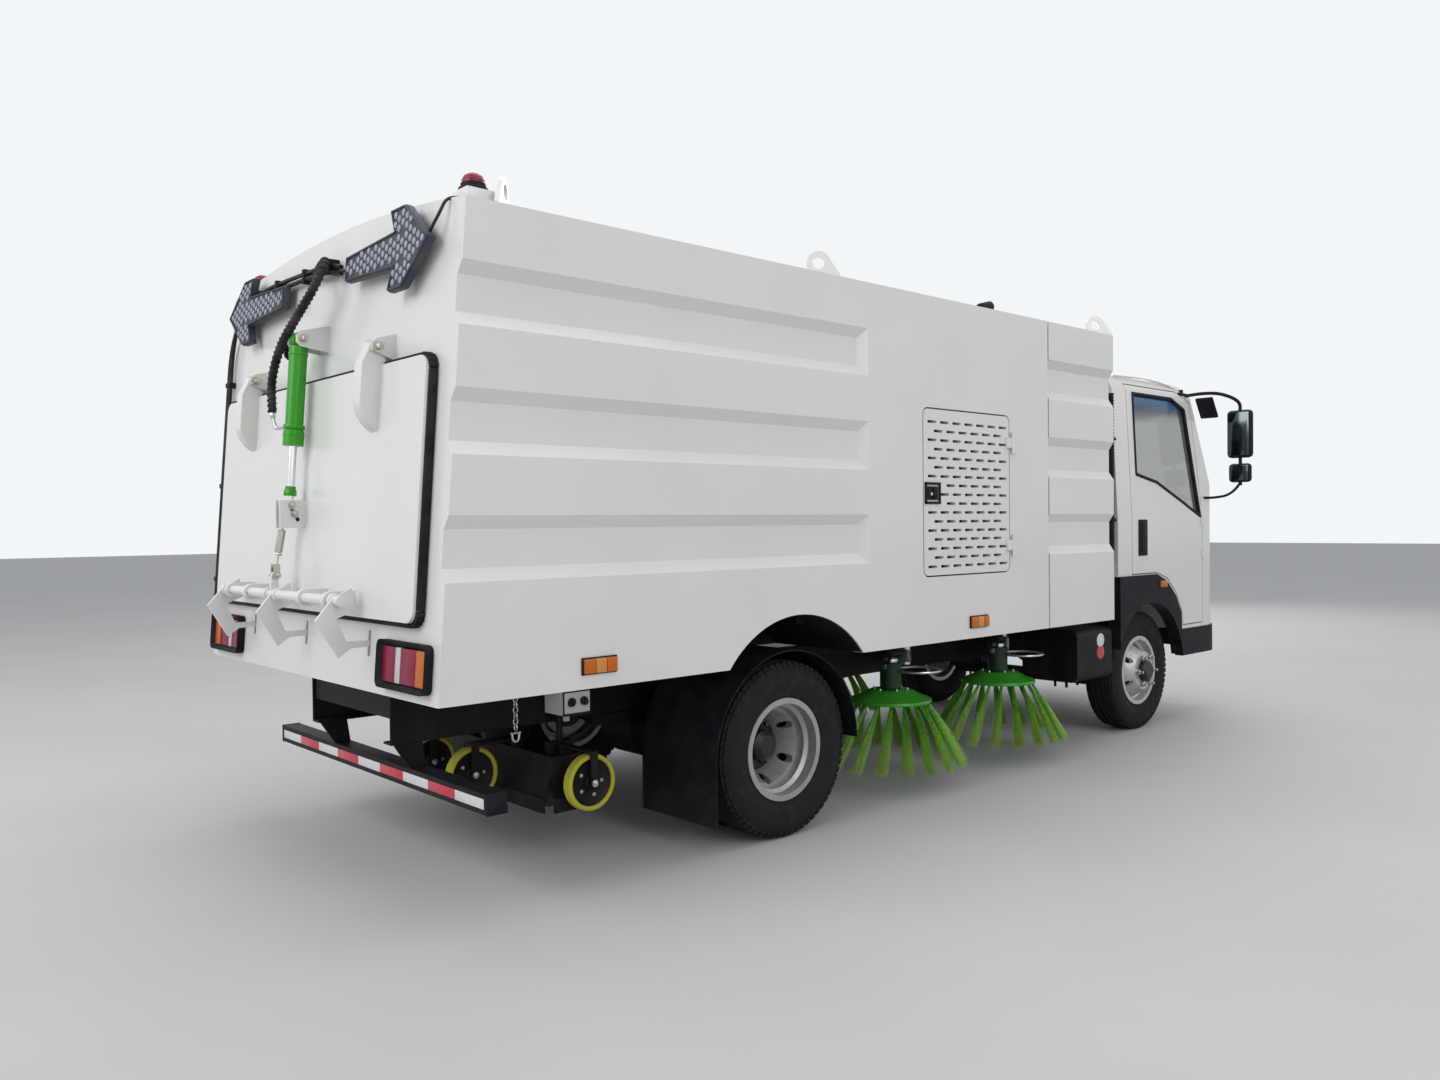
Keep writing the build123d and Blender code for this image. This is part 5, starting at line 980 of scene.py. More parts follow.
@dataclass
class LockGear:
    """Lock shaft, hooks, link and the turnbuckle."""

    shaft: Point = (0.127, 0, 1.095)
    pin: Point = (0.122, 0.038, 1.168)

    def build(self) -> None:
        """Dress the shaft and link, and add collars and nuts."""
        soften("lock_shaft", Finish.WHITE, 0.002)
        soften("lock_link", Finish.ZINC, 0.0015)
        form, jam = Form(), Form()
        for y in (-0.540, 0.552, -0.018, 0.078):
            ends = line(off_tail(*self.shaft), (0, y - 0.008, 0), (0, y + 0.008, 0))
            form.rod(*ends, 0.027, 24, soft=0.002)
        form.finish("shaft_collars", Finish.WHITE, "lock_shaft")
        pin = off_tail(*self.pin)
        bolts("link_pin_nuts", both_ways(pin, 0.019), 0.016, "lock_link")
        way = (Vector((tail_x(1.406) - 0.104, 0.038, 1.400)) - pin).normalized()
        for along in (0.078, 0.188):
            jam.rod(pin + way * along, pin + way * (along + 0.009), 0.013, 6, soft=0.001)
        jam.finish("turnbuckle_nuts", Finish.ZINC, "lock_link")


@dataclass
class DoorCylinder:
    """Hydraulic cylinder that lifts the door."""

    out: float = 0.100
    top_z: float = 2.087
    low_z: float = 1.440
    ports: Point = (0.055, 0.335)

    def axis(self) -> tuple:
        """Top pin and the unit vector down the rod."""
        top = off_tail(self.out, 0, self.top_z)
        return top, (off_tail(self.out, 0, self.low_z) - top).normalized()

    def build(self) -> None:
        """Dress barrel and rod; add rings, ports, pins, the rod's nut, a black sheet that paints the shade in
        the guide's slot, and the bolt in that slot.
        """
        top, way = self.axis()
        soften("cylinder_barrel", Finish.GREEN, 0.002)
        dress(Finish.CHROME, "cylinder_rod")
        rings, fittings, slot = Form(), Form(), Form()
        for along, wide, radius in ((0.05, 0.012, 0.0365), (0.335, 0.016, 0.0405), (0.372, 0.006, 0.0405)):
            rings.rod(top + way * along, top + way * (along + wide), radius, 36, soft=0.0015)
        for along in self.ports:
            start = top + way * along
            rings.rod(*line(start, (0, 0.028, 0), (0, 0.052, 0)), 0.013, 16, soft=0.001)
            fittings.rod(*line(start, (0, 0.050, 0), (0, 0.068, 0)), 0.012, 6, soft=0.001)
            fittings.rod(*line(start, (0, 0.068, 0), (0, 0.084, 0)), 0.008, 12)
        rings.finish("cylinder_rings", Finish.GREEN, "cylinder_barrel")
        elbow = line(start, (0, 0.08, 0), (-0.01, 0.125, -0.004), (-0.02, 0.150, 0.0), (-0.025, 0.155, 0.045))
        fittings.tube(elbow, 0.0075)
        fittings.rod(*line(start, (-0.025, 0.155, 0.038), (-0.026, 0.156, 0.062)), 0.0125, 6, soft=0.001)
        fittings.finish("cylinder_fittings", Finish.STEEL, "cylinder_barrel")
        nut = Form().rod(top + way * 0.588, top + way * 0.612, 0.026, 6, soft=0.002)
        nut.rod(top + way * 0.575, top + way * 0.588, 0.020, 24)
        nut.finish("rod_end_nut", Finish.GREEN, "cylinder_rod")
        guide = off_tail(0.088, -0.0272, 1.406)
        # A thin black sheet paints the slot's opening as dark: painted shade.
        slot.block((0.014, 0.0006, 0.062), guide, 0.0, Matrix.Rotation(math.radians(-28), 4, "Y"))
        slot.finish("guide_slot_shade", Finish.PLASTIC, "tail_door")
        bolts("guide_bolt", [(guide, (0, -1, 0))], 0.020, "tail_door")
        bolts("cylinder_pin_bolts", both_ways(top, 0.047), 0.024)
        bolts("rod_eye_bolts", both_ways(off_tail(self.out, 0, self.low_z), 0.027), 0.02, "tail_door")


@dataclass
class Wiring:
    """Conduits, clamps and the wrapped hose on the rear face."""

    conduit: float = 0.009
    guard_pitch: float = 0.011

    def build(self) -> None:
        """Twin conduits below the roof's edge and down the left side, and the cylinder's two hoses."""
        form, clamps = Form(), Form()
        for shift in (0, 0.024):
            form.tube([off_tail(0.030, y, z - shift) for y, z in (
                (0.90, 2.290), (0.86, 2.375), (0.60, 2.395), (0.30, 2.392), (0.0, 2.382), (-0.12, 2.372),
                (-0.20, 2.350),
            )], self.conduit)
            side = [off_tail(0.020, 1.045 - shift, z) for z in (2.20, 1.9, 1.5, 1.1, 0.97)]
            form.tube([off_tail(0.03, 0.95, 2.26)] + side, self.conduit)
        form.tube([off_tail(0.03, y, z) for y, z in ((-0.16, 2.34), (-0.28, 2.318), (-0.40, 2.32))], 0.006)
        beacon = Vector((tail_x(2.44) + 0.04, -0.982, 2.452))
        form.tube(line(beacon, (0.04, 0.01, 0.008), (0, 0, 0)) + [off_tail(*p) for p in (
            (0.016, -0.990, 2.440), (0.030, -0.975, 2.39), (0.045, -0.950, 2.34), (0.045, -0.935, 2.325),
        )], 0.0055)
        form.finish("conduits", Finish.HOSE)
        for y in (0.72, 0.45, 0.15, -0.10):
            clamps.block((0.045, 0.022, 0.060), off_tail(0.022, y, 2.370 + 0.018 * y), 0.003)
        for z in (2.02, 1.55, 1.12):
            clamps.block((0.030, 0.058, 0.022), off_tail(0.016, 1.033, z), 0.003)
        clamps.finish("conduit_clamps", Finish.PLASTIC)
        top, way = DoorCylinder().axis()
        low = top + way * 0.335 + Vector((-0.026, 0.156, 0.060))
        port = top + way * 0.055 + Vector((0, 0.084, 0))
        main_hose = [off_tail(*p) for p in (
            (0.035, 0.02, 2.372), (0.060, -0.12, 2.392), (0.095, -0.190, 2.345), (0.115, -0.150, 2.26),
            (0.130, -0.04, 2.17), (0.140, 0.08, 2.08), (0.140, 0.15, 1.98),
        )] + line(low, (0.002, 0.014, 0.10), (0, 0.002, 0.04), (0, 0, 0))
        self.wrapped("door_hose", main_hose, 0.0155)
        branch = [off_tail(*p) for p in (
            (0.035, 0.04, 2.355), (0.075, -0.09, 2.35), (0.10, -0.11, 2.28), (0.112, 0.0, 2.18),
            (0.118, 0.10, 2.09),
        )] + line(port, (0, 0.045, 0.035), (0, 0.02, 0), (0, 0, 0))
        self.wrapped("door_hose_branch", branch, 0.011)

    def wrapped(self, name: str, points: Sequence[Point], radius: float) -> None:
        """A hose with a spiral guard round it, running from the body to the swinging cylinder; it rides on no
        body.

        Args:
            name: the piece's name.
            points: control points from the body to the cylinder.
            radius: the hose's.
        """
        path = [v.co.copy() for v in line_mesh(points, True, 64).vertices]
        turned, angle, last = [], 0.0, path[0]
        for here, ahead in zip(path, path[1:]):
            way = (ahead - here).normalized()
            side = way.cross(Vector((0.2, 0.9, 0.3))).normalized()
            angle += (here - last).length / self.guard_pitch * math.pi
            last = here
            turned.append(here + (side * math.cos(angle) + way.cross(side) * math.sin(angle)) * radius)
        form = Form().tube(points, radius, sides=4).tube(turned, 0.0036, False, 2)
        piece = form.finish(name, Finish.HOSE, None, weld=False)
        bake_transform(piece)


@dataclass
class ArrowBoard:
    """A lamp board in the shape of an arrow, with rows of round lenses."""

    side: str
    sign: int
    middle_z: float = 2.310
    out: float = 0.028
    depth: float = 0.037
    pitch: float = 0.0335
    tail: float = 0.310
    neck: float = 0.712
    barb: float = 0.782
    tip: float = 0.965
    half_tall: float = 0.145
    first_lens: float = 0.330

    def outline(self, shrink: float = 0.0) -> list:
        """Corners of the board: (y outwards, height), the edge moved in by shrink."""
        upper = [
            (self.tail + shrink, 0.048 - shrink), (self.neck + shrink * 0.3, 0.066 - shrink),
            (0.672 + shrink, self.half_tall - shrink), (self.barb - shrink * 0.4, self.half_tall - shrink),
            (self.tip - shrink * 1.25, 0.0),
        ]
        return upper + [(y, -z) for y, z in reversed(upper[:-1])]

    def inside(self, y: float, z: float) -> bool:
        """Whether a lens fits on the board.

        Args:
            y: its place outwards.
            z: its height over the board's middle.

        Returns:
            True where it fits.
        """
        z = abs(z)
        stem = z < 0.046 + (y - self.tail) / (self.neck - self.tail) * 0.018 - 0.018
        if y < 0.700:
            return y >= self.first_lens and stem
        if y < self.barb:
            return z < 0.126 and (stem or z > 0.066)
        return z < self.half_tall * (self.tip - y) / (self.tip - self.barb) - 0.022

    def build(self) -> None:
        """Make the housing, its rim, the lenses and the standoffs."""
        thick, mirror = self.depth * 0.8, -self.sign
        outs = (self.out, self.out + thick - 0.001, 0)
        place, face, feet = (on_tail(0, self.middle_z, out) for out in outs)
        case = Form().plate([(mirror * y, z) for y, z in self.outline()], place, thick, 0.006)
        rim = self.outline(0.007)
        for ends in zip(rim, rim[1:] + rim[:1]):
            case.rod(*(face @ Vector((mirror * y, z, 0.003)) for y, z in ends), 0.004, 8)
        for y in (0.40, 0.60, 0.80):
            case.rod(*(feet @ Vector((mirror * y, 0, out)) for out in (0, self.out + 0.004)), 0.012, 12)
        case.finish(f"arrow_board_{self.side}", Finish.BOARD, replaces=["warning_lamps"])
        lenses, y, column = Form(), self.first_lens, 0
        while y < self.tip - 0.015:
            for row in range(-5, 6):
                z = row * self.pitch + (self.pitch * 0.5 if column % 2 else 0.0)
                if self.inside(y, z):
                    at = face @ Vector((mirror * y, z, 0))
                    lenses.rod(at, at + TAIL_OUT * 0.004, 0.0125, 12)
                    lenses.rod(at + TAIL_OUT * 0.004, at + TAIL_OUT * 0.007, 0.0105, 12, 0.006)
            y += self.pitch * 0.88
            column += 1
        lenses.finish(f"arrow_lenses_{self.side}", Finish.LED_LENS, replaces=["warning_lamps"])


@dataclass
class Beacons:
    """Two warning beacons on brackets at the roof's rear corners."""

    x: float = REAR_AXLE_X - 1.463
    y: float = 0.982
    dome_z: float = 2.506

    def build(self) -> None:
        """Make brackets, bases and domes."""
        boxes, bases, domes = Form(), Form(), Form()
        dome = [(0.0, 0.0), (0.0, 0.038), (0.014, 0.0375), (0.026, 0.032), (0.034, 0.019), (0.036, 0.0)]
        for sign in SIGNS:
            x, y = self.x, sign * self.y
            boxes.block((0.106, 0.106, 0.040), (x, y, 2.462), 0.005)
            bases.rod((x, y, 2.480), (x, y, 2.492), 0.052, 32, 0.050, 0.003)
            bases.rod((x, y, 2.491), (x, y, 2.508), 0.044, 32, 0.042, 0.002)
            domes.spun(dome, (x, y, self.dome_z), UP, 32, False)
            domes.spun([(0.009, 0.0365), (0.012, 0.0395), (0.015, 0.0365)], (x, y, self.dome_z), UP, 32)
        boxes.finish("beacon_brackets", Finish.WHITE, replaces=["warning_lamps"])
        bases.finish("beacon_bases", Finish.PLASTIC, replaces=["warning_lamps"])
        domes.finish("beacon_domes", Finish.RED_LENS, replaces=["warning_lamps"])


@dataclass
class Lamps:
    """Rear lamp clusters in deep black frames, and amber side markers."""

    low_z: float = 0.801
    high_z: float = 0.966
    inner_y: float = 0.691
    outer_y: float = 1.045
    depth: float = 0.034
    bar: float = 0.022
    marker_xs: Point = (REAR_AXLE_X - 1.045, REAR_AXLE_X + 1.29)
    marker_z: float = 0.850

    def build(self) -> None:
        """Make the frames and the lens fields, then the markers."""
        red, clear, amber = Finish.RED_LENS, Finish.CLEAR_LENS, Finish.AMBER_LENS
        fields, frames = {finish: Form() for finish in (red, clear, amber)}, Form()
        wide, tall = self.outer_y - self.inner_y, self.high_z - self.low_z
        inner = wide - 2 * self.bar
        for sign in SIGNS:
            place = on_tail(sign * (self.inner_y + wide / 2), (self.low_z + self.high_z) / 2, 0.0004)
            frames.tray((wide, tall, self.depth), place, 0.026, self.bar, self.depth - 0.007)
            for finish, start, end in (
                (red, 0.0, 0.30), (clear, 0.305, 0.43), (red, 0.435, 0.78), (amber, 0.785, 1.0),
            ):
                middle = place @ Vector((((start + end) / 2 - 0.5) * inner * -sign, 0, 0.013))
                size = ((end - start) * inner, tall - 2 * self.bar, 0.012)
                fields[finish].block(size, middle, 0.003, place.to_3x3().to_4x4())
        frames.finish("tail_lamp_frames", Finish.PLASTIC, replaces=["tail_lamps"])
        for finish, form in fields.items():
            form.finish(f"tail_lamp_{finish.name.lower()}", finish, replaces=["tail_lamps"])
        lens, middle, back = Form(), Form(), Form()
        for x in self.marker_xs:
            for sign in SIGNS:
                y, z = sign * (BODY_SIDE_Y + 0.0005), self.marker_z
                back.block((0.155, 0.006, 0.062), (x, y + sign * 0.003, z), 0.002)
                for part, form in ((-1, lens), (0, middle), (1, lens)):
                    form.block((0.046, 0.014, 0.052), (x + part * 0.048, y + sign * 0.011, z), 0.003)
        back.finish("marker_backs", Finish.PLASTIC, replaces=["marker_lamps"])
        lens.finish("marker_lenses", amber, replaces=["marker_lamps"])
        middle.finish("marker_reflectors", Finish.AMBER_PALE, replaces=["marker_lamps"])


@dataclass
class UnderrunBar:
    """Black rear bar with red and white tape."""

    rear_x: float = REAR_AXLE_X - 1.418
    half_width: float = 0.940
    segments: int = 9

    def build(self) -> None:
        """Dress the bar, add end plates and tape."""
        soften("rear_bumper", Finish.BLACK, 0.006)
        ends, tapes = Form(), {Finish.TAPE_WHITE: Form(), Finish.TAPE_RED: Form()}
        for sign in SIGNS:
            middle = (self.rear_x + 0.040, sign * (self.half_width - 0.001), 0.3825)
            ends.block((0.084, 0.006, 0.079), middle, 0.002)
        ends.finish("bar_end_plates", Finish.PLASTIC)
        step = 2 * (self.half_width - 0.02) / self.segments
        for index in range(self.segments):
            y = self.half_width - 0.02 - (index + 0.5) * step
            form = tapes[Finish.TAPE_RED if index % 2 else Finish.TAPE_WHITE]
            form.block((0.002, step - 0.001, 0.036), (self.rear_x - 0.0006, y, 0.383), 0.0004)
        for finish, form in tapes.items():
            form.finish(f"bar_{finish.name.lower()}", finish)


@dataclass
class Wheels:
    """Tyres with tread, rims with nuts and valves."""

    radius: float = 0.380
    lugs: int = 64

    def tyre(self, centre: Vector) -> Form:
        """One tyre: grooved crown, shoulder blocks and a beaded side wall.

        Args:
            centre: the middle of the tyre.

        Returns:
            The form.
        """
        r = self.radius
        half = [
            (0.0, r), (0.013, r), (0.016, r - 0.009), (0.024, r - 0.009), (0.027, r), (0.044, r - 0.0005),
            (0.047, r - 0.009), (0.054, r - 0.009), (0.057, r - 0.001), (0.064, r - 0.0075),
            (0.082, r - 0.016), (0.091, 0.343), (0.0975, 0.325), (0.0995, 0.300), (0.0990, 0.296),
            (0.1000, 0.292), (0.0965, 0.268), (0.0900, 0.246), (0.0860, 0.236), (0.0865, 0.230),
            (0.0800, 0.224), (0.0780, 0.2212), (0.0780, 0.2037),
        ]
        lug = Form()
        for side in SIGNS:
            for y, size, reach in ((0.0705, 0.022, -0.004), (0.0845, 0.012, -0.018)):
                lug.block((0.026, size, 0.012), centre + Vector((0, side * y, r + reach - 0.006)))
        form = Form().spun([(-a, b) for a, b in reversed(half[1:])] + half, centre, ACROSS, 96)
        return form.join(lug.around(centre, ACROSS, self.lugs))

    def nuts(self, name: str, at: Point, body: str, finish: Finish) -> None:
        """Six nuts on studs.

        Args:
            name: the piece's name.
            at: the hub face's middle.
            body: the wheel.
            finish: their finish.
        """
        form, (x, y, z), sign = Form(), at, math.copysign(1, at[1])
        for index in range(6):
            angle = math.radians(60 * index)
            stud = Vector((x + 0.096 * math.cos(angle), y, z + 0.096 * math.sin(angle)))
            for out, radius, sides, soft in (
                (0.005, 0.0185, 20, 0), (0.026, 0.0165, 6, 0.0015), (0.046, 0.0085, 12, 0.001),
            ):
                form.rod(stud, stud + Vector((0, sign * out, 0)), radius, sides, soft=soft)
        form.finish(name, finish, body)

    def build(self) -> None:
        """Dress all wheels."""
        # The rear rims take the darker silver, which paints their shade.
        dress(Finish.REAR_WHEEL_SHADED, "rear_rims_left", "rear_rims_right")
        dress(Finish.FRONT_WHEEL, "front_rim_left", "front_rim_right")
        for side, sign in SIDES:
            rear_body, front_body, x = f"rear_wheels_{side}", f"front_wheel_{side}", FRONT_AXLE_X
            outer, inner = (Vector((REAR_AXLE_X, sign * y, AXLE_Z)) for y in (0.910, 0.675))
            rear = self.tyre(outer)
            rear.join(rear, inner - outer)
            rear.finish(f"rear_tread_{side}", Finish.TYRE, rear_body, [f"rear_tyres_{side}"], 30, False)
            front = self.tyre(Vector((x, sign * 0.777, AXLE_Z)))
            front.finish(f"front_tread_{side}", Finish.TYRE, front_body, [f"front_tyre_{side}"], 30, False)
            self.nuts(f"rear_nuts_{side}", (REAR_AXLE_X, sign * 0.7925, AXLE_Z), rear_body, Finish.IRON)
            self.nuts(f"front_nuts_{side}", (x, sign * 0.8945, AXLE_Z), front_body, Finish.STEEL)
            valve = Form().tube([
                (x + 0.150, sign * 0.835, AXLE_Z + 0.02), (x + 0.152, sign * 0.86, AXLE_Z + 0.02),
                (x + 0.138, sign * 0.885, AXLE_Z + 0.018),
            ], 0.005)
            valve.finish(f"front_valve_{side}", Finish.ZINC, front_body)


@dataclass
class Brush:
    """A side brush with its arm: a steel cone disc, bundles of strands, motor cap, hoses and spray ring."""

    key: str
    x: float
    sign: int
    seed: int
    disc_z: float = 0.435
    bundles: int = 18
    strands: int = 90
    tip_z: float = 0.112

    def build(self) -> None:
        """Make the disc, the strands and what drives them."""
        body = f"brush_{self.key}"
        centre = Vector((self.x, self.sign * 0.690, self.disc_z))
        disc = Form().spun([
            (0.055, 0.023), (0.055, 0.105), (0.052, 0.112), (0.022, 0.170), (0.010, 0.205), (0.0, 0.2095),
            (-0.006, 0.208), (-0.006, 0.150), (0.036, 0.100), (0.040, 0.023),
        ], centre, UP, 72)
        disc.finish(f"brush_disc_{self.key}", Finish.GREEN, body, [body], 30)
        self.bundle(centre).finish(f"brush_strands_{self.key}", Finish.BRISTLE, body, [body], weld=False)
        ring = [(centre + Vector((math.cos(a), math.sin(a), 0)) * 0.085 + Vector((0, 0, 0.054)), UP)
                for a in (math.radians(60 * i) for i in range(6))]
        bolts(f"brush_bolts_{self.key}", ring, 0.014, body)
        self.drive()

    def bundle(self, centre: Vector) -> Form:
        """Strands of one bundle, repeated round the disc.

        Args:
            centre: the middle of the disc.

        Returns:
            The form.
        """
        form, chance, drop = Form(), random.Random(self.seed), self.disc_z - self.tip_z
        for _ in range(self.strands):
            turn, spread = chance.uniform(0, 2 * math.pi), math.sqrt(chance.random())
            root = Vector((0.182, 0, 0.002)) + Vector((math.cos(turn), math.sin(turn), 0)) * spread * 0.0055
            flare = Vector((math.cos(turn) * 0.7, math.sin(turn), 0)) * spread * 0.036
            length = chance.uniform(0.91, 1.0)
            stray = Vector((chance.gauss(0, 0.004), chance.gauss(0, 0.004), 0))
            tip = root + (Vector((0.366, -0.060, -drop)) + flare + stray - root) * length
            middle = root.lerp(tip, 0.5) + Vector((0.005, 0.002, 0.004))
            form.rod(centre + root, centre + middle, 0.0011, 3)
            form.rod(centre + middle, centre + tip, 0.0011, 3, 0.0008)
        return form.around(centre, UP, self.bundles)

    def drive(self) -> None:
        """Arm, motor cap, hoses, spray ring, bracket and pivot nut."""
        x, sign, arm = self.x, self.sign, f"brush_arm_{self.key}"
        y, pivot = sign * 0.690, Vector((x + 0.43, sign * 0.445, 0.61))
        # The arm and its bracket take the darker green, which paints their shade under the body.
        soften(arm, Finish.ARM_GREEN_SHADED, 0.002)
        soften(f"brush_knuckle_{self.key}", Finish.STEEL, 0.0015)
        cap = Form().rod((x, y, 0.6255), (x, y, 0.650), 0.038, 24, soft=0.004)
        cap.block((0.05, 0.03, 0.03), (x - 0.03, y, 0.61), 0.003)
        cap.finish(f"motor_cap_{self.key}", Finish.STEEL, arm)
        hoses = Form()
        for shift in (-0.018, 0.018):
            hoses.tube([
                (x - 0.03, y + shift, 0.625), (x - 0.035, y + shift, 0.665),
                (x + 0.06, y - sign * 0.02 + shift, 0.672), (x + 0.16, y - sign * 0.080 + shift, 0.650),
                (x + 0.23, y - sign * 0.120 + shift, 0.655),
                (pivot.x - 0.160, pivot.y + sign * 0.080 + shift, 0.630),
            ], 0.009)
        hoses.finish(f"motor_hoses_{self.key}", Finish.HOSE, arm)
        ring = Vector((x + 0.115, y + sign * 0.085, 0.585))
        angles = [math.radians(45 * i) for i in range(8)]
        round_bar = [(0.006 * math.sin(a), 0.120 + 0.006 * math.cos(a)) for a in angles]
        spray = Form().spun(round_bar, ring, UP, 48)
        feed = [(x + 0.03, y, 0.600), (x + 0.02, y + sign * 0.03, 0.592), ring + Vector((-0.118, 0, 0))]
        spray.tube(feed, 0.006)
        spray.finish(f"spray_ring_{self.key}", Finish.STEEL, arm)
        rack = Form().block((0.16, 0.012, 0.09), (pivot.x, sign * 0.384, 0.61), 0.002)
        rack.finish(f"arm_bracket_{self.key}", Finish.ARM_GREEN_SHADED)
        bolts(f"pivot_nut_{self.key}", [((pivot.x, pivot.y, 0.680), UP)], 0.03)


@dataclass
class Nozzle:
    """Suction nozzle with its yellow wheels, skirt and lift chain."""

    x: float = REAR_AXLE_X - 0.77
    wheels: Sequence[tuple] = (
        ("front_left", REAR_AXLE_X - 0.78, 0.650), ("front_right", REAR_AXLE_X - 0.78, -0.650),
        ("rear_left", REAR_AXLE_X - 1.05, 0.180), ("rear_right", REAR_AXLE_X - 1.05, -0.180),
    )
    wheel_z: float = 0.312
    wheel_radius: float = 0.115

    def build(self) -> None:
        """Dress the hood and its wheels; hang the skirt and the chains."""
        soften("suction_nozzle", Finish.BLACK, 0.003)
        for name, x, y in self.wheels:
            self.wheel(name, Vector((x, y, self.wheel_z)))
        skirt = Form()
        for x in (self.x - 0.148, self.x + 0.148):
            skirt.block((0.008, 1.06, 0.060), (x, 0, 0.214), 0.001)
        for y in (-0.556, 0.556):
            skirt.block((0.24, 0.008, 0.060), (self.x, y, 0.214), 0.001)
        skirt.finish("nozzle_skirt", Finish.RUBBER, "suction_nozzle")
        self.chain()

    def wheel(self, name: str, centre: Vector) -> None:
        """One wheel: yellow tyre on a black hub with bolts.

        Args:
            name: which wheel.
            centre: its middle.
        """
        body, r, places = f"nozzle_wheel_{name}", self.wheel_radius, []
        tread = [
            (-0.016, 0.0945), (-0.022, 0.098), (-0.0245, 0.106), (-0.020, r - 0.002), (-0.010, r), (0.010, r),
            (0.020, r - 0.002), (0.0245, 0.106), (0.022, 0.098), (0.016, 0.0945),
        ]
        hub = [
            (-0.020, 0.030), (-0.024, 0.026), (-0.024, 0.0093), (0.024, 0.0093), (0.024, 0.026),
            (0.020, 0.030), (0.006, 0.036), (0.006, 0.082), (0.016, 0.095), (-0.016, 0.095),
            (-0.006, 0.082), (-0.006, 0.036),
        ]
        Form().spun(tread, centre, ACROSS, 64).finish(f"yellow_tyre_{name}", Finish.YELLOW, body, [body])
        Form().spun(hub, centre, ACROSS, 48).finish(f"wheel_hub_{name}", Finish.BLACK, body, [body])
        for sign in SIGNS:
            for angle in (math.radians(72 * index) for index in range(5)):
                at = centre + Vector((0.055 * math.cos(angle), sign * 0.006, 0.055 * math.sin(angle)))
                places.append((at, (0, sign, 0)))
        bolts(f"hub_bolts_{name}", places, 0.010, body)
        bolts(f"axle_nuts_{name}", both_ways(centre, 0.039), 0.018, "suction_nozzle", Finish.STEEL)

    def chain(self) -> None:
        """Short chains with shackles between the frame and the nozzle's ears."""
        form, x, angles = Form(), self.x - 0.235, [math.tau * index / 10 for index in range(11)]
        loop = [Vector((math.cos(angle) * 0.010, 0, math.sin(angle) * 0.016)) for angle in angles]
        for sign in SIGNS:
            for index in range(8):
                centre = Vector((x, sign * 0.46, 0.700 - index * 0.023))
                turn = Matrix.Rotation(math.pi / 2 * (index % 2), 4, "Z")
                form.tube([centre + turn @ p for p in loop], 0.003, False, 1)
            low = Vector((x, sign * 0.46, 0.505))
            shackle = ((-0.016, 0.012), (-0.018, -0.012), (0, -0.030), (0.018, -0.012), (0.016, 0.012))
            form.tube([low + Vector((dx, 0, dz)) for dx, dz in shackle], 0.005)
            form.rod(*line(low, (-0.022, 0, 0.010), (0.022, 0, 0.010)), 0.005, 10)
            form.rod((x, sign * 0.46, 0.712), (x, sign * 0.376, 0.712), 0.006, 10)
        form.finish("lift_chains", Finish.STEEL)


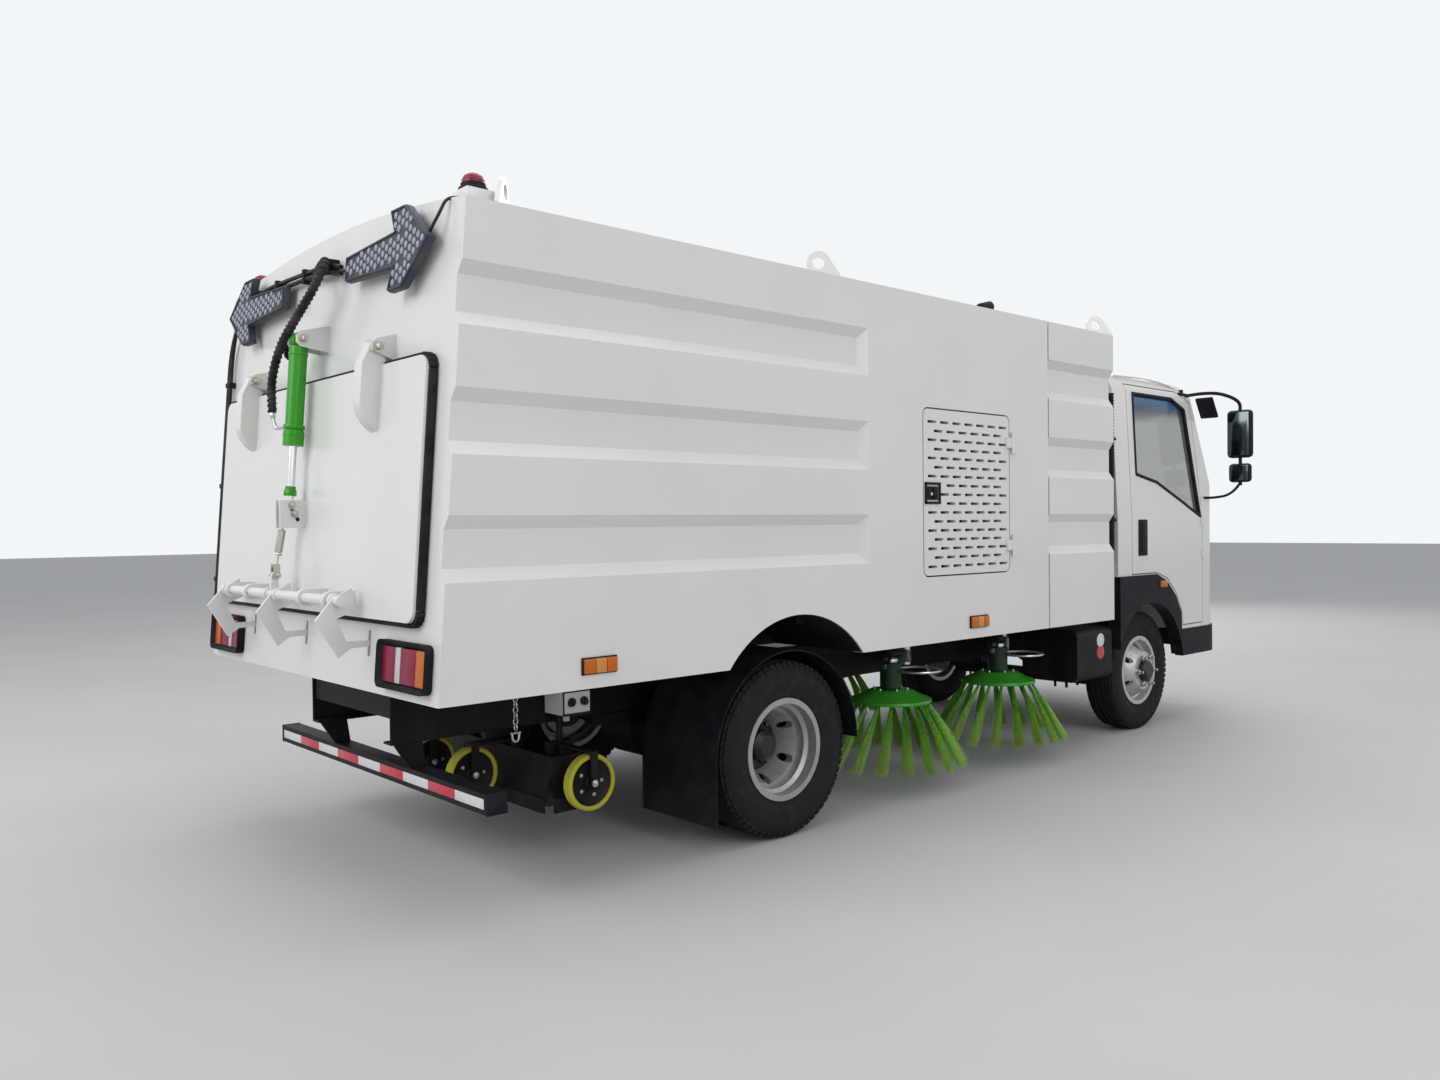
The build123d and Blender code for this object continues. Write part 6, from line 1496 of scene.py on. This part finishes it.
@dataclass
class Underbody:
    """Chassis finish, springs' clips, black arch liners that paint the shade in the arches, the control box
    and reflectors.
    """

    box: Point = (REAR_AXLE_X - 1.129, -1.0145, 0.724)

    def build(self) -> None:
        """Dress the frame and what hangs on it."""
        for node, finish, radius in (
            ("frame_rails", Finish.BLACK, 0.003), ("frame_crossmembers", Finish.BLACK, 0.003),
            ("front_axle", Finish.BLACK, 0.004), ("engine_blocks", Finish.IRON, 0.006),
            ("chassis_boxes", Finish.BLACK, 0.004), ("mudguards", Finish.GUARD, 0.003),
        ):
            soften(node, finish, radius)
        dress(Finish.BLACK, "rear_axle", "leaf_springs")
        dress(Finish.IRON, "knuckle_left", "knuckle_right")
        clips = Form()
        for axle_x, low in ((REAR_AXLE_X, 0.438), (FRONT_AXLE_X, 0.325)):
            for sign in SIGNS:
                for x in (axle_x - 0.07, axle_x + 0.07):
                    clips.tube([(x, sign * y, low + dz) for y, dz in (
                        (0.300, -0.10), (0.300, 0.09), (0.385, 0.09), (0.385, -0.10),
                    )], 0.009, False)
        clips.finish("spring_clips", Finish.BLACK)
        self.arch_shade_liners()
        self.control_box()
        for finish, dz in ((Finish.TAPE_WHITE, 0.036), (Finish.TAPE_RED, -0.036)):
            form = Form()
            for sign in SIGNS:
                form.ball((FRONT_AXLE_X - 0.61, sign * 0.930, 0.590 + dz), 0.046, (0.95, 0.08, 0.9))
            form.finish(f"side_{finish.name.lower()}", finish)

    def arch_shade_liners(self) -> None:
        """Black sheets inside the body's rear wheel arches, the upper part of a ring on each side: painted
        shade that darkens the arches' insides.
        """
        form = Form().spun([
            (1.085, 0.5165), (1.085, 0.5195), (0.5415, 0.5195), (0.5415, 0.06), (0.5445, 0.06),
            (0.5445, 0.5165),
        ], (REAR_AXLE_X, 0, 0.444), ACROSS, 72)
        low = (0, 0, 0.772)
        bmesh.ops.bisect_plane(form.mesh, geom=form.geometry(), plane_co=low, plane_no=UP, clear_inner=True)
        bmesh.ops.holes_fill(form.mesh, edges=[e for e in form.mesh.edges if e.is_boundary])
        copy = bmesh.ops.duplicate(form.mesh, geom=form.geometry())["geom"]
        verts = [g for g in copy if isinstance(g, bmesh.types.BMVert)]
        bmesh.ops.scale(form.mesh, verts=verts, vec=(1, -1, 1))
        form.finish("arch_shade_liners", Finish.GUARD)

    def control_box(self) -> None:
        """Grey switch box with two black knobs at the body's lower edge."""
        x, y, z = self.box
        case, knobs = Form().block((0.122, 0.116, 0.088), (x, y, z), 0.006), Form()
        case.block((0.108, 0.006, 0.074), (x, y - 0.059, z), 0.003)
        case.rod((x, y + 0.01, z - 0.04), (x, y + 0.01, z - 0.075), 0.012, 12)
        case.finish("control_box_case", Finish.PANEL_GREY)
        for dx in (-0.026, 0.026):
            knobs.rod((x + dx, y - 0.060, z + 0.004), (x + dx, y - 0.072, z + 0.004), 0.015, 20, soft=0.001)
            knobs.block((0.007, 0.016, 0.028), (x + dx, y - 0.072, z + 0.004), 0.002)
        knobs.finish("control_knobs", Finish.PLASTIC)


@dataclass
class Cab:
    """Cab panels, glass, mirrors, lamps and trim."""

    rear_x: float = REAR_AXLE_X + 2.99
    front_x: float = FRONT_AXLE_X + 1.06
    half: float = 0.940
    window: Sequence[Point] = (
        (-0.15, 1.640), (-0.15, 2.152), (0.380, 2.152), (0.560, 2.090), (0.727, 1.372), (0.480, 1.465),
        (0.120, 1.594),
    )

    def build(self) -> None:
        """Dress the cab from the shell outwards."""
        soften("cab_shell", Finish.WHITE, 0.008, 3)
        dress(Finish.GLASS, "cab_glass")
        for side, sign in SIDES:
            soften(f"cab_door_{side}", Finish.WHITE, 0.004)
            dress(Finish.GLASS, f"door_glass_{side}")
            self.door_trim(side, sign)
            self.mirror(side, sign)
        soften("front_bumper", Finish.PLASTIC, 0.012, 3)
        self.front()
        self.ducts()
        rails, x = Form(), FRONT_AXLE_X
        for sign in SIGNS:
            rails.tube([(x + dx, sign * y, z) for dx, y, z in (
                (-0.32, 0.868, 2.255), (0.04, 0.868, 2.272), (0.49, 0.868, 2.245), (0.62, 0.872, 2.190),
            )], 0.006)
        rails.finish("roof_drip_rails", Finish.WHITE)

    def side_y(self, z: float) -> float:
        """Half width of the cab at a height."""
        return self.half + max(0.0, z - 1.35) / 0.82 * (0.901 - self.half)

    def door_trim(self, side: str, sign: int) -> None:
        """Window seal and the recessed handle.

        Args:
            side: which door.
            sign: its side of the truck.
        """
        seal, body = Form(), f"cab_door_{side}"
        ring = [Vector((FRONT_AXLE_X + x, sign * (self.side_y(z) - 0.006), z)) for x, z in self.window]
        for a, b in zip(ring, ring[1:] + ring[:1]):
            seal.rod(a, b, 0.013, 10).ball(a, 0.013, rings=6)
        seal.finish(f"window_seal_{side}", Finish.RUBBER, body)
        handle = Form()
        for size, x, out, soft in (
            ((0.112, 0.012, 0.230), 0.3145, 0.002, 0.010), ((0.070, 0.020, 0.190), 0.3185, 0.004, 0.008),
        ):
            handle.block(size, (self.rear_x + x, sign * (self.half + out), 1.238), soft)
        handle.finish(f"door_handle_{side}", Finish.PLASTIC, body)

    def mirror(self, side: str, sign: int) -> None:
        """Mirror heads with their glass on a bent arm, and a small mirror over the kerb.

        Args:
            side: which mirror.
            sign: its side of the truck.
        """
        foot = Vector((FRONT_AXLE_X + 0.600, sign * (self.side_y(2.18) - 0.020), 2.185))
        low = Vector((FRONT_AXLE_X + 0.80, sign * (self.side_y(1.50) - 0.002), 1.50))
        head = Vector((FRONT_AXLE_X + 0.905, sign * 1.135, 1.930))
        x, y, _ = head
        arm = Form().tube([foot] + line(foot, (0.02, sign * 0.05, 0.012), (0.10, sign * 0.16, 0.02)) + [
            (x - 0.07, y - sign * 0.06, 2.195), (x, y, 2.150), (x, y, 2.08), (x, y, 1.58),
        ], 0.0115)
        arm.tube([
            low, low + Vector((0.02, sign * 0.05, -0.005)), (x - 0.02, y - sign * 0.04, 1.52), (x, y, 1.60),
        ], 0.009)
        arm.block((0.13, 0.03, 0.022), foot + Vector((-0.02, 0, 0.012)), 0.006)
        arm.rod(*line(foot, (-0.03, 0, 0), (-0.03, 0, 0.045)), 0.014, 16, soft=0.003)
        kerb = foot + Vector((0.14, sign * 0.10, -0.075))
        arm.block((0.022, 0.12, 0.16), kerb, 0.010, Matrix.Rotation(math.radians(-35), 4, "Y"))
        arm.finish(f"mirror_arm_{side}", Finish.PLASTIC, replaces=["mirrors"])
        heads = Form().block((0.068, 0.168, 0.326), head, 0.028)
        heads.block((0.058, 0.148, 0.128), head - Vector((0, 0, 0.265)), 0.024)
        heads.finish(f"mirror_heads_{side}", Finish.PLASTIC, replaces=["mirrors"])
        glass = Form().block((0.004, 0.140, 0.294), head - Vector((0.034, 0, 0)), 0.0015)
        glass.block((0.004, 0.122, 0.104), head - Vector((0.029, 0, 0.265)), 0.0015)
        glass.finish(f"mirror_glass_{side}", Finish.MIRROR)

    def front(self) -> None:
        """Headlamps, grille, wipers and the flares' lamps."""
        lens, frames, grille, wipers, flare = (Form() for _ in range(5))
        x = self.front_x
        for sign in SIGNS:
            at = Vector((x + 0.0075, sign * 0.56, 0.72))
            lens.block((0.022, 0.220, 0.110), at, 0.010)
            frames.block((0.016, 0.240, 0.130), at - Vector((0.004, 0, 0)), 0.010)
            flare.block((0.090, 0.014, 0.042), (FRONT_AXLE_X + 0.155, sign * 0.956, 0.935), 0.004)
        frames.finish("headlamp_frames", Finish.PLASTIC, replaces=["headlamps"])
        lens.finish("headlamp_lenses", Finish.CLEAR_LENS, replaces=["headlamps"])
        for index in range(6):
            middle = (x + 0.0015 + 0.0005 * index, 0, 0.95 - index * 0.032)
            grille.block((0.016, 1.10 - 0.03 * index, 0.018), middle, 0.004)
        grille.finish("grille_bars", Finish.PLASTIC)
        for y in (-0.30, 0.30):
            wipers.rod((x - 0.0655, y, 1.335), (x - 0.0715, y, 1.375), 0.014, 12)
            arm = [(x - 0.0675, y, 1.37), (x - 0.1275, y + 0.14, 1.55), (x - 0.1575, y + 0.22, 1.66)]
            wipers.tube(arm, 0.007)
            wipers.rod((x - 0.1255, y - 0.03, 1.60), (x - 0.1695, y + 0.42, 1.72), 0.006, 8)
        wipers.finish("wipers", Finish.PLASTIC)
        flare.finish("flare_lamps", Finish.AMBER_LENS)

    def bellows(self, top: float, rings: Sequence[Point], pitch: float) -> tuple[list, float]:
        """Outline of a corrugated hose.

        Args:
            top: its upper end's height.
            rings: (drop, radius) points of one ring.
            pitch: from ring to ring.

        Returns:
            (height, radius) points down to about 1.1 m, and the height where the next ring would start.
        """
        outline, z = [], top
        while z > 1.10:
            outline += [(z - drop, radius) for drop, radius in rings]
            z -= pitch
        return outline, z

    def ducts(self) -> None:
        """Corrugated air duct behind the cab, and a slim hose down the cab's corner."""
        box_low, box_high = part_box("air_intake")
        x, y, duct = self.rear_x - 0.07, -0.82, Form()
        duct.block((0.108, 0.148, 0.30), (x, y, 1.955), 0.02)
        duct.block((0.020, 0.118, 0.058), (self.rear_x - 0.0105, y, 2.06), 0.004)
        profile, _ = self.bellows(1.82, ((0, 0.050), (0.010, 0.050), (0.014, 0.043), (0.022, 0.043)), 0.026)
        duct.spun([(profile[0][0], 0.0)] + profile + [(profile[-1][0], 0.0)], (x, y, 0), UP, 32, False)
        duct.block((0.106, 0.146, 0.10), (x, y, 1.062), 0.02)
        duct.finish("air_duct", Finish.PLASTIC, replaces=["air_intake"])
        LOG.info("duct between %.2f and %.2f", box_low.z, box_high.z)
        outline, z = self.bellows(2.130, ((0, 0.026), (0.008, 0.026), (0.011, 0.021), (0.017, 0.021)), 0.020)
        foot = (self.rear_x - 0.030, -0.905, 0)
        hose = Form().spun([(2.130, 0.0)] + outline + [(z, 0.0)], foot, UP, 20, False)
        for z in (1.35, 1.85):
            hose.block((0.050, 0.056, 0.018), (self.rear_x - 0.026, -0.905, z), 0.004)
        hose.finish("cab_breather", Finish.PLASTIC)


@dataclass
class Interior:
    """Padded seats and the dashboard."""

    floor_z: float = 1.042
    voxel: float = 0.014
    pressure: float = 4
    swell: float = 0.008
    steps: int = 14

    def build(self) -> None:
        """Make the seats and dress the dashboard."""
        soften("dashboard", Finish.TRIM, 0.004)
        for side, sign in SIDES:
            x, y, z = FRONT_AXLE_X, sign * 0.44, self.floor_z
            self.cushion(f"seat_base_{side}", (0.440, 0.460, 0.150), (x - 0.04, y, z + 0.255), 0.045)
            self.cushion(f"seat_back_{side}", (0.085, 0.440, 0.640), (x - 0.288, y, z + 0.520), 0.034)
            box = Form().block((0.400, 0.420, 0.165), (x - 0.04, y, z + 0.085), 0.01)
            box.finish(f"seat_box_{side}", Finish.TRIM, replaces=["seats"])

    def cushion(self, name: str, size: Point, centre: Point, soft: float) -> None:
        """A pad that swells under pressure.

        Args:
            name: its name.
            size: its lengths.
            centre: its middle.
            soft: radius of its edges.
        """
        piece = Form().block(size, centre, soft).finish(name, Finish.FABRIC, replaces=["seats"])
        remesh = piece.modifiers.new("voxels", "REMESH")
        remesh.mode, remesh.voxel_size, remesh.use_smooth_shade = "VOXEL", self.voxel, True
        self.apply(piece)
        rest = [v.co.copy() for v in piece.data.vertices]
        cloth = piece.modifiers.new("swell", "CLOTH")
        cloth.settings.use_pressure, cloth.settings.uniform_pressure_force = True, self.pressure
        cloth.settings.effector_weights.gravity = 0
        cloth.point_cache.frame_end = self.steps
        for step in range(1, self.steps + 1):
            bpy.context.scene.frame_set(step)
        self.apply(piece)
        for vertex, start in zip(piece.data.vertices, rest):
            move = vertex.co - start
            if move.length > self.swell:
                vertex.co = start + move.normalized() * self.swell
        bpy.context.scene.frame_set(1)
        smooth = piece.modifiers.new("smooth", "SUBSURF")
        smooth.levels = smooth.render_levels = 1

    def apply(self, piece: bpy.types.Object) -> None:
        """Replace the mesh by what its modifiers make."""
        made = bpy.data.meshes.new_from_object(piece.evaluated_get(bpy.context.evaluated_depsgraph_get()))
        piece.modifiers.clear()
        piece.data = made


def main() -> None:
    """Build the truck's looks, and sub-assembly by sub-assembly."""
    logging.basicConfig(level=logging.INFO)
    parts = [Stage(), Body()]
    for side, sign in SIDES:
        parts += [VentDoor(side, sign), ArrowBoard(side, sign)]
    parts += [TailDoor(), LockGear(), DoorCylinder(), Wiring(), Beacons(), Lamps(), UnderrunBar(), Wheels()]
    seed = FIRST_SEED
    for place, x in (("rear", REAR_AXLE_X + 1.09), ("front", REAR_AXLE_X + 2.06)):
        for side, sign in SIDES:
            parts.append(Brush(f"{place}_{side}", x, sign, seed))
            seed += 1
    parts += [Nozzle(), Underbody(), Cab(), Interior()]
    for part in parts:
        part.build()


if __name__ == "__main__":
    main()
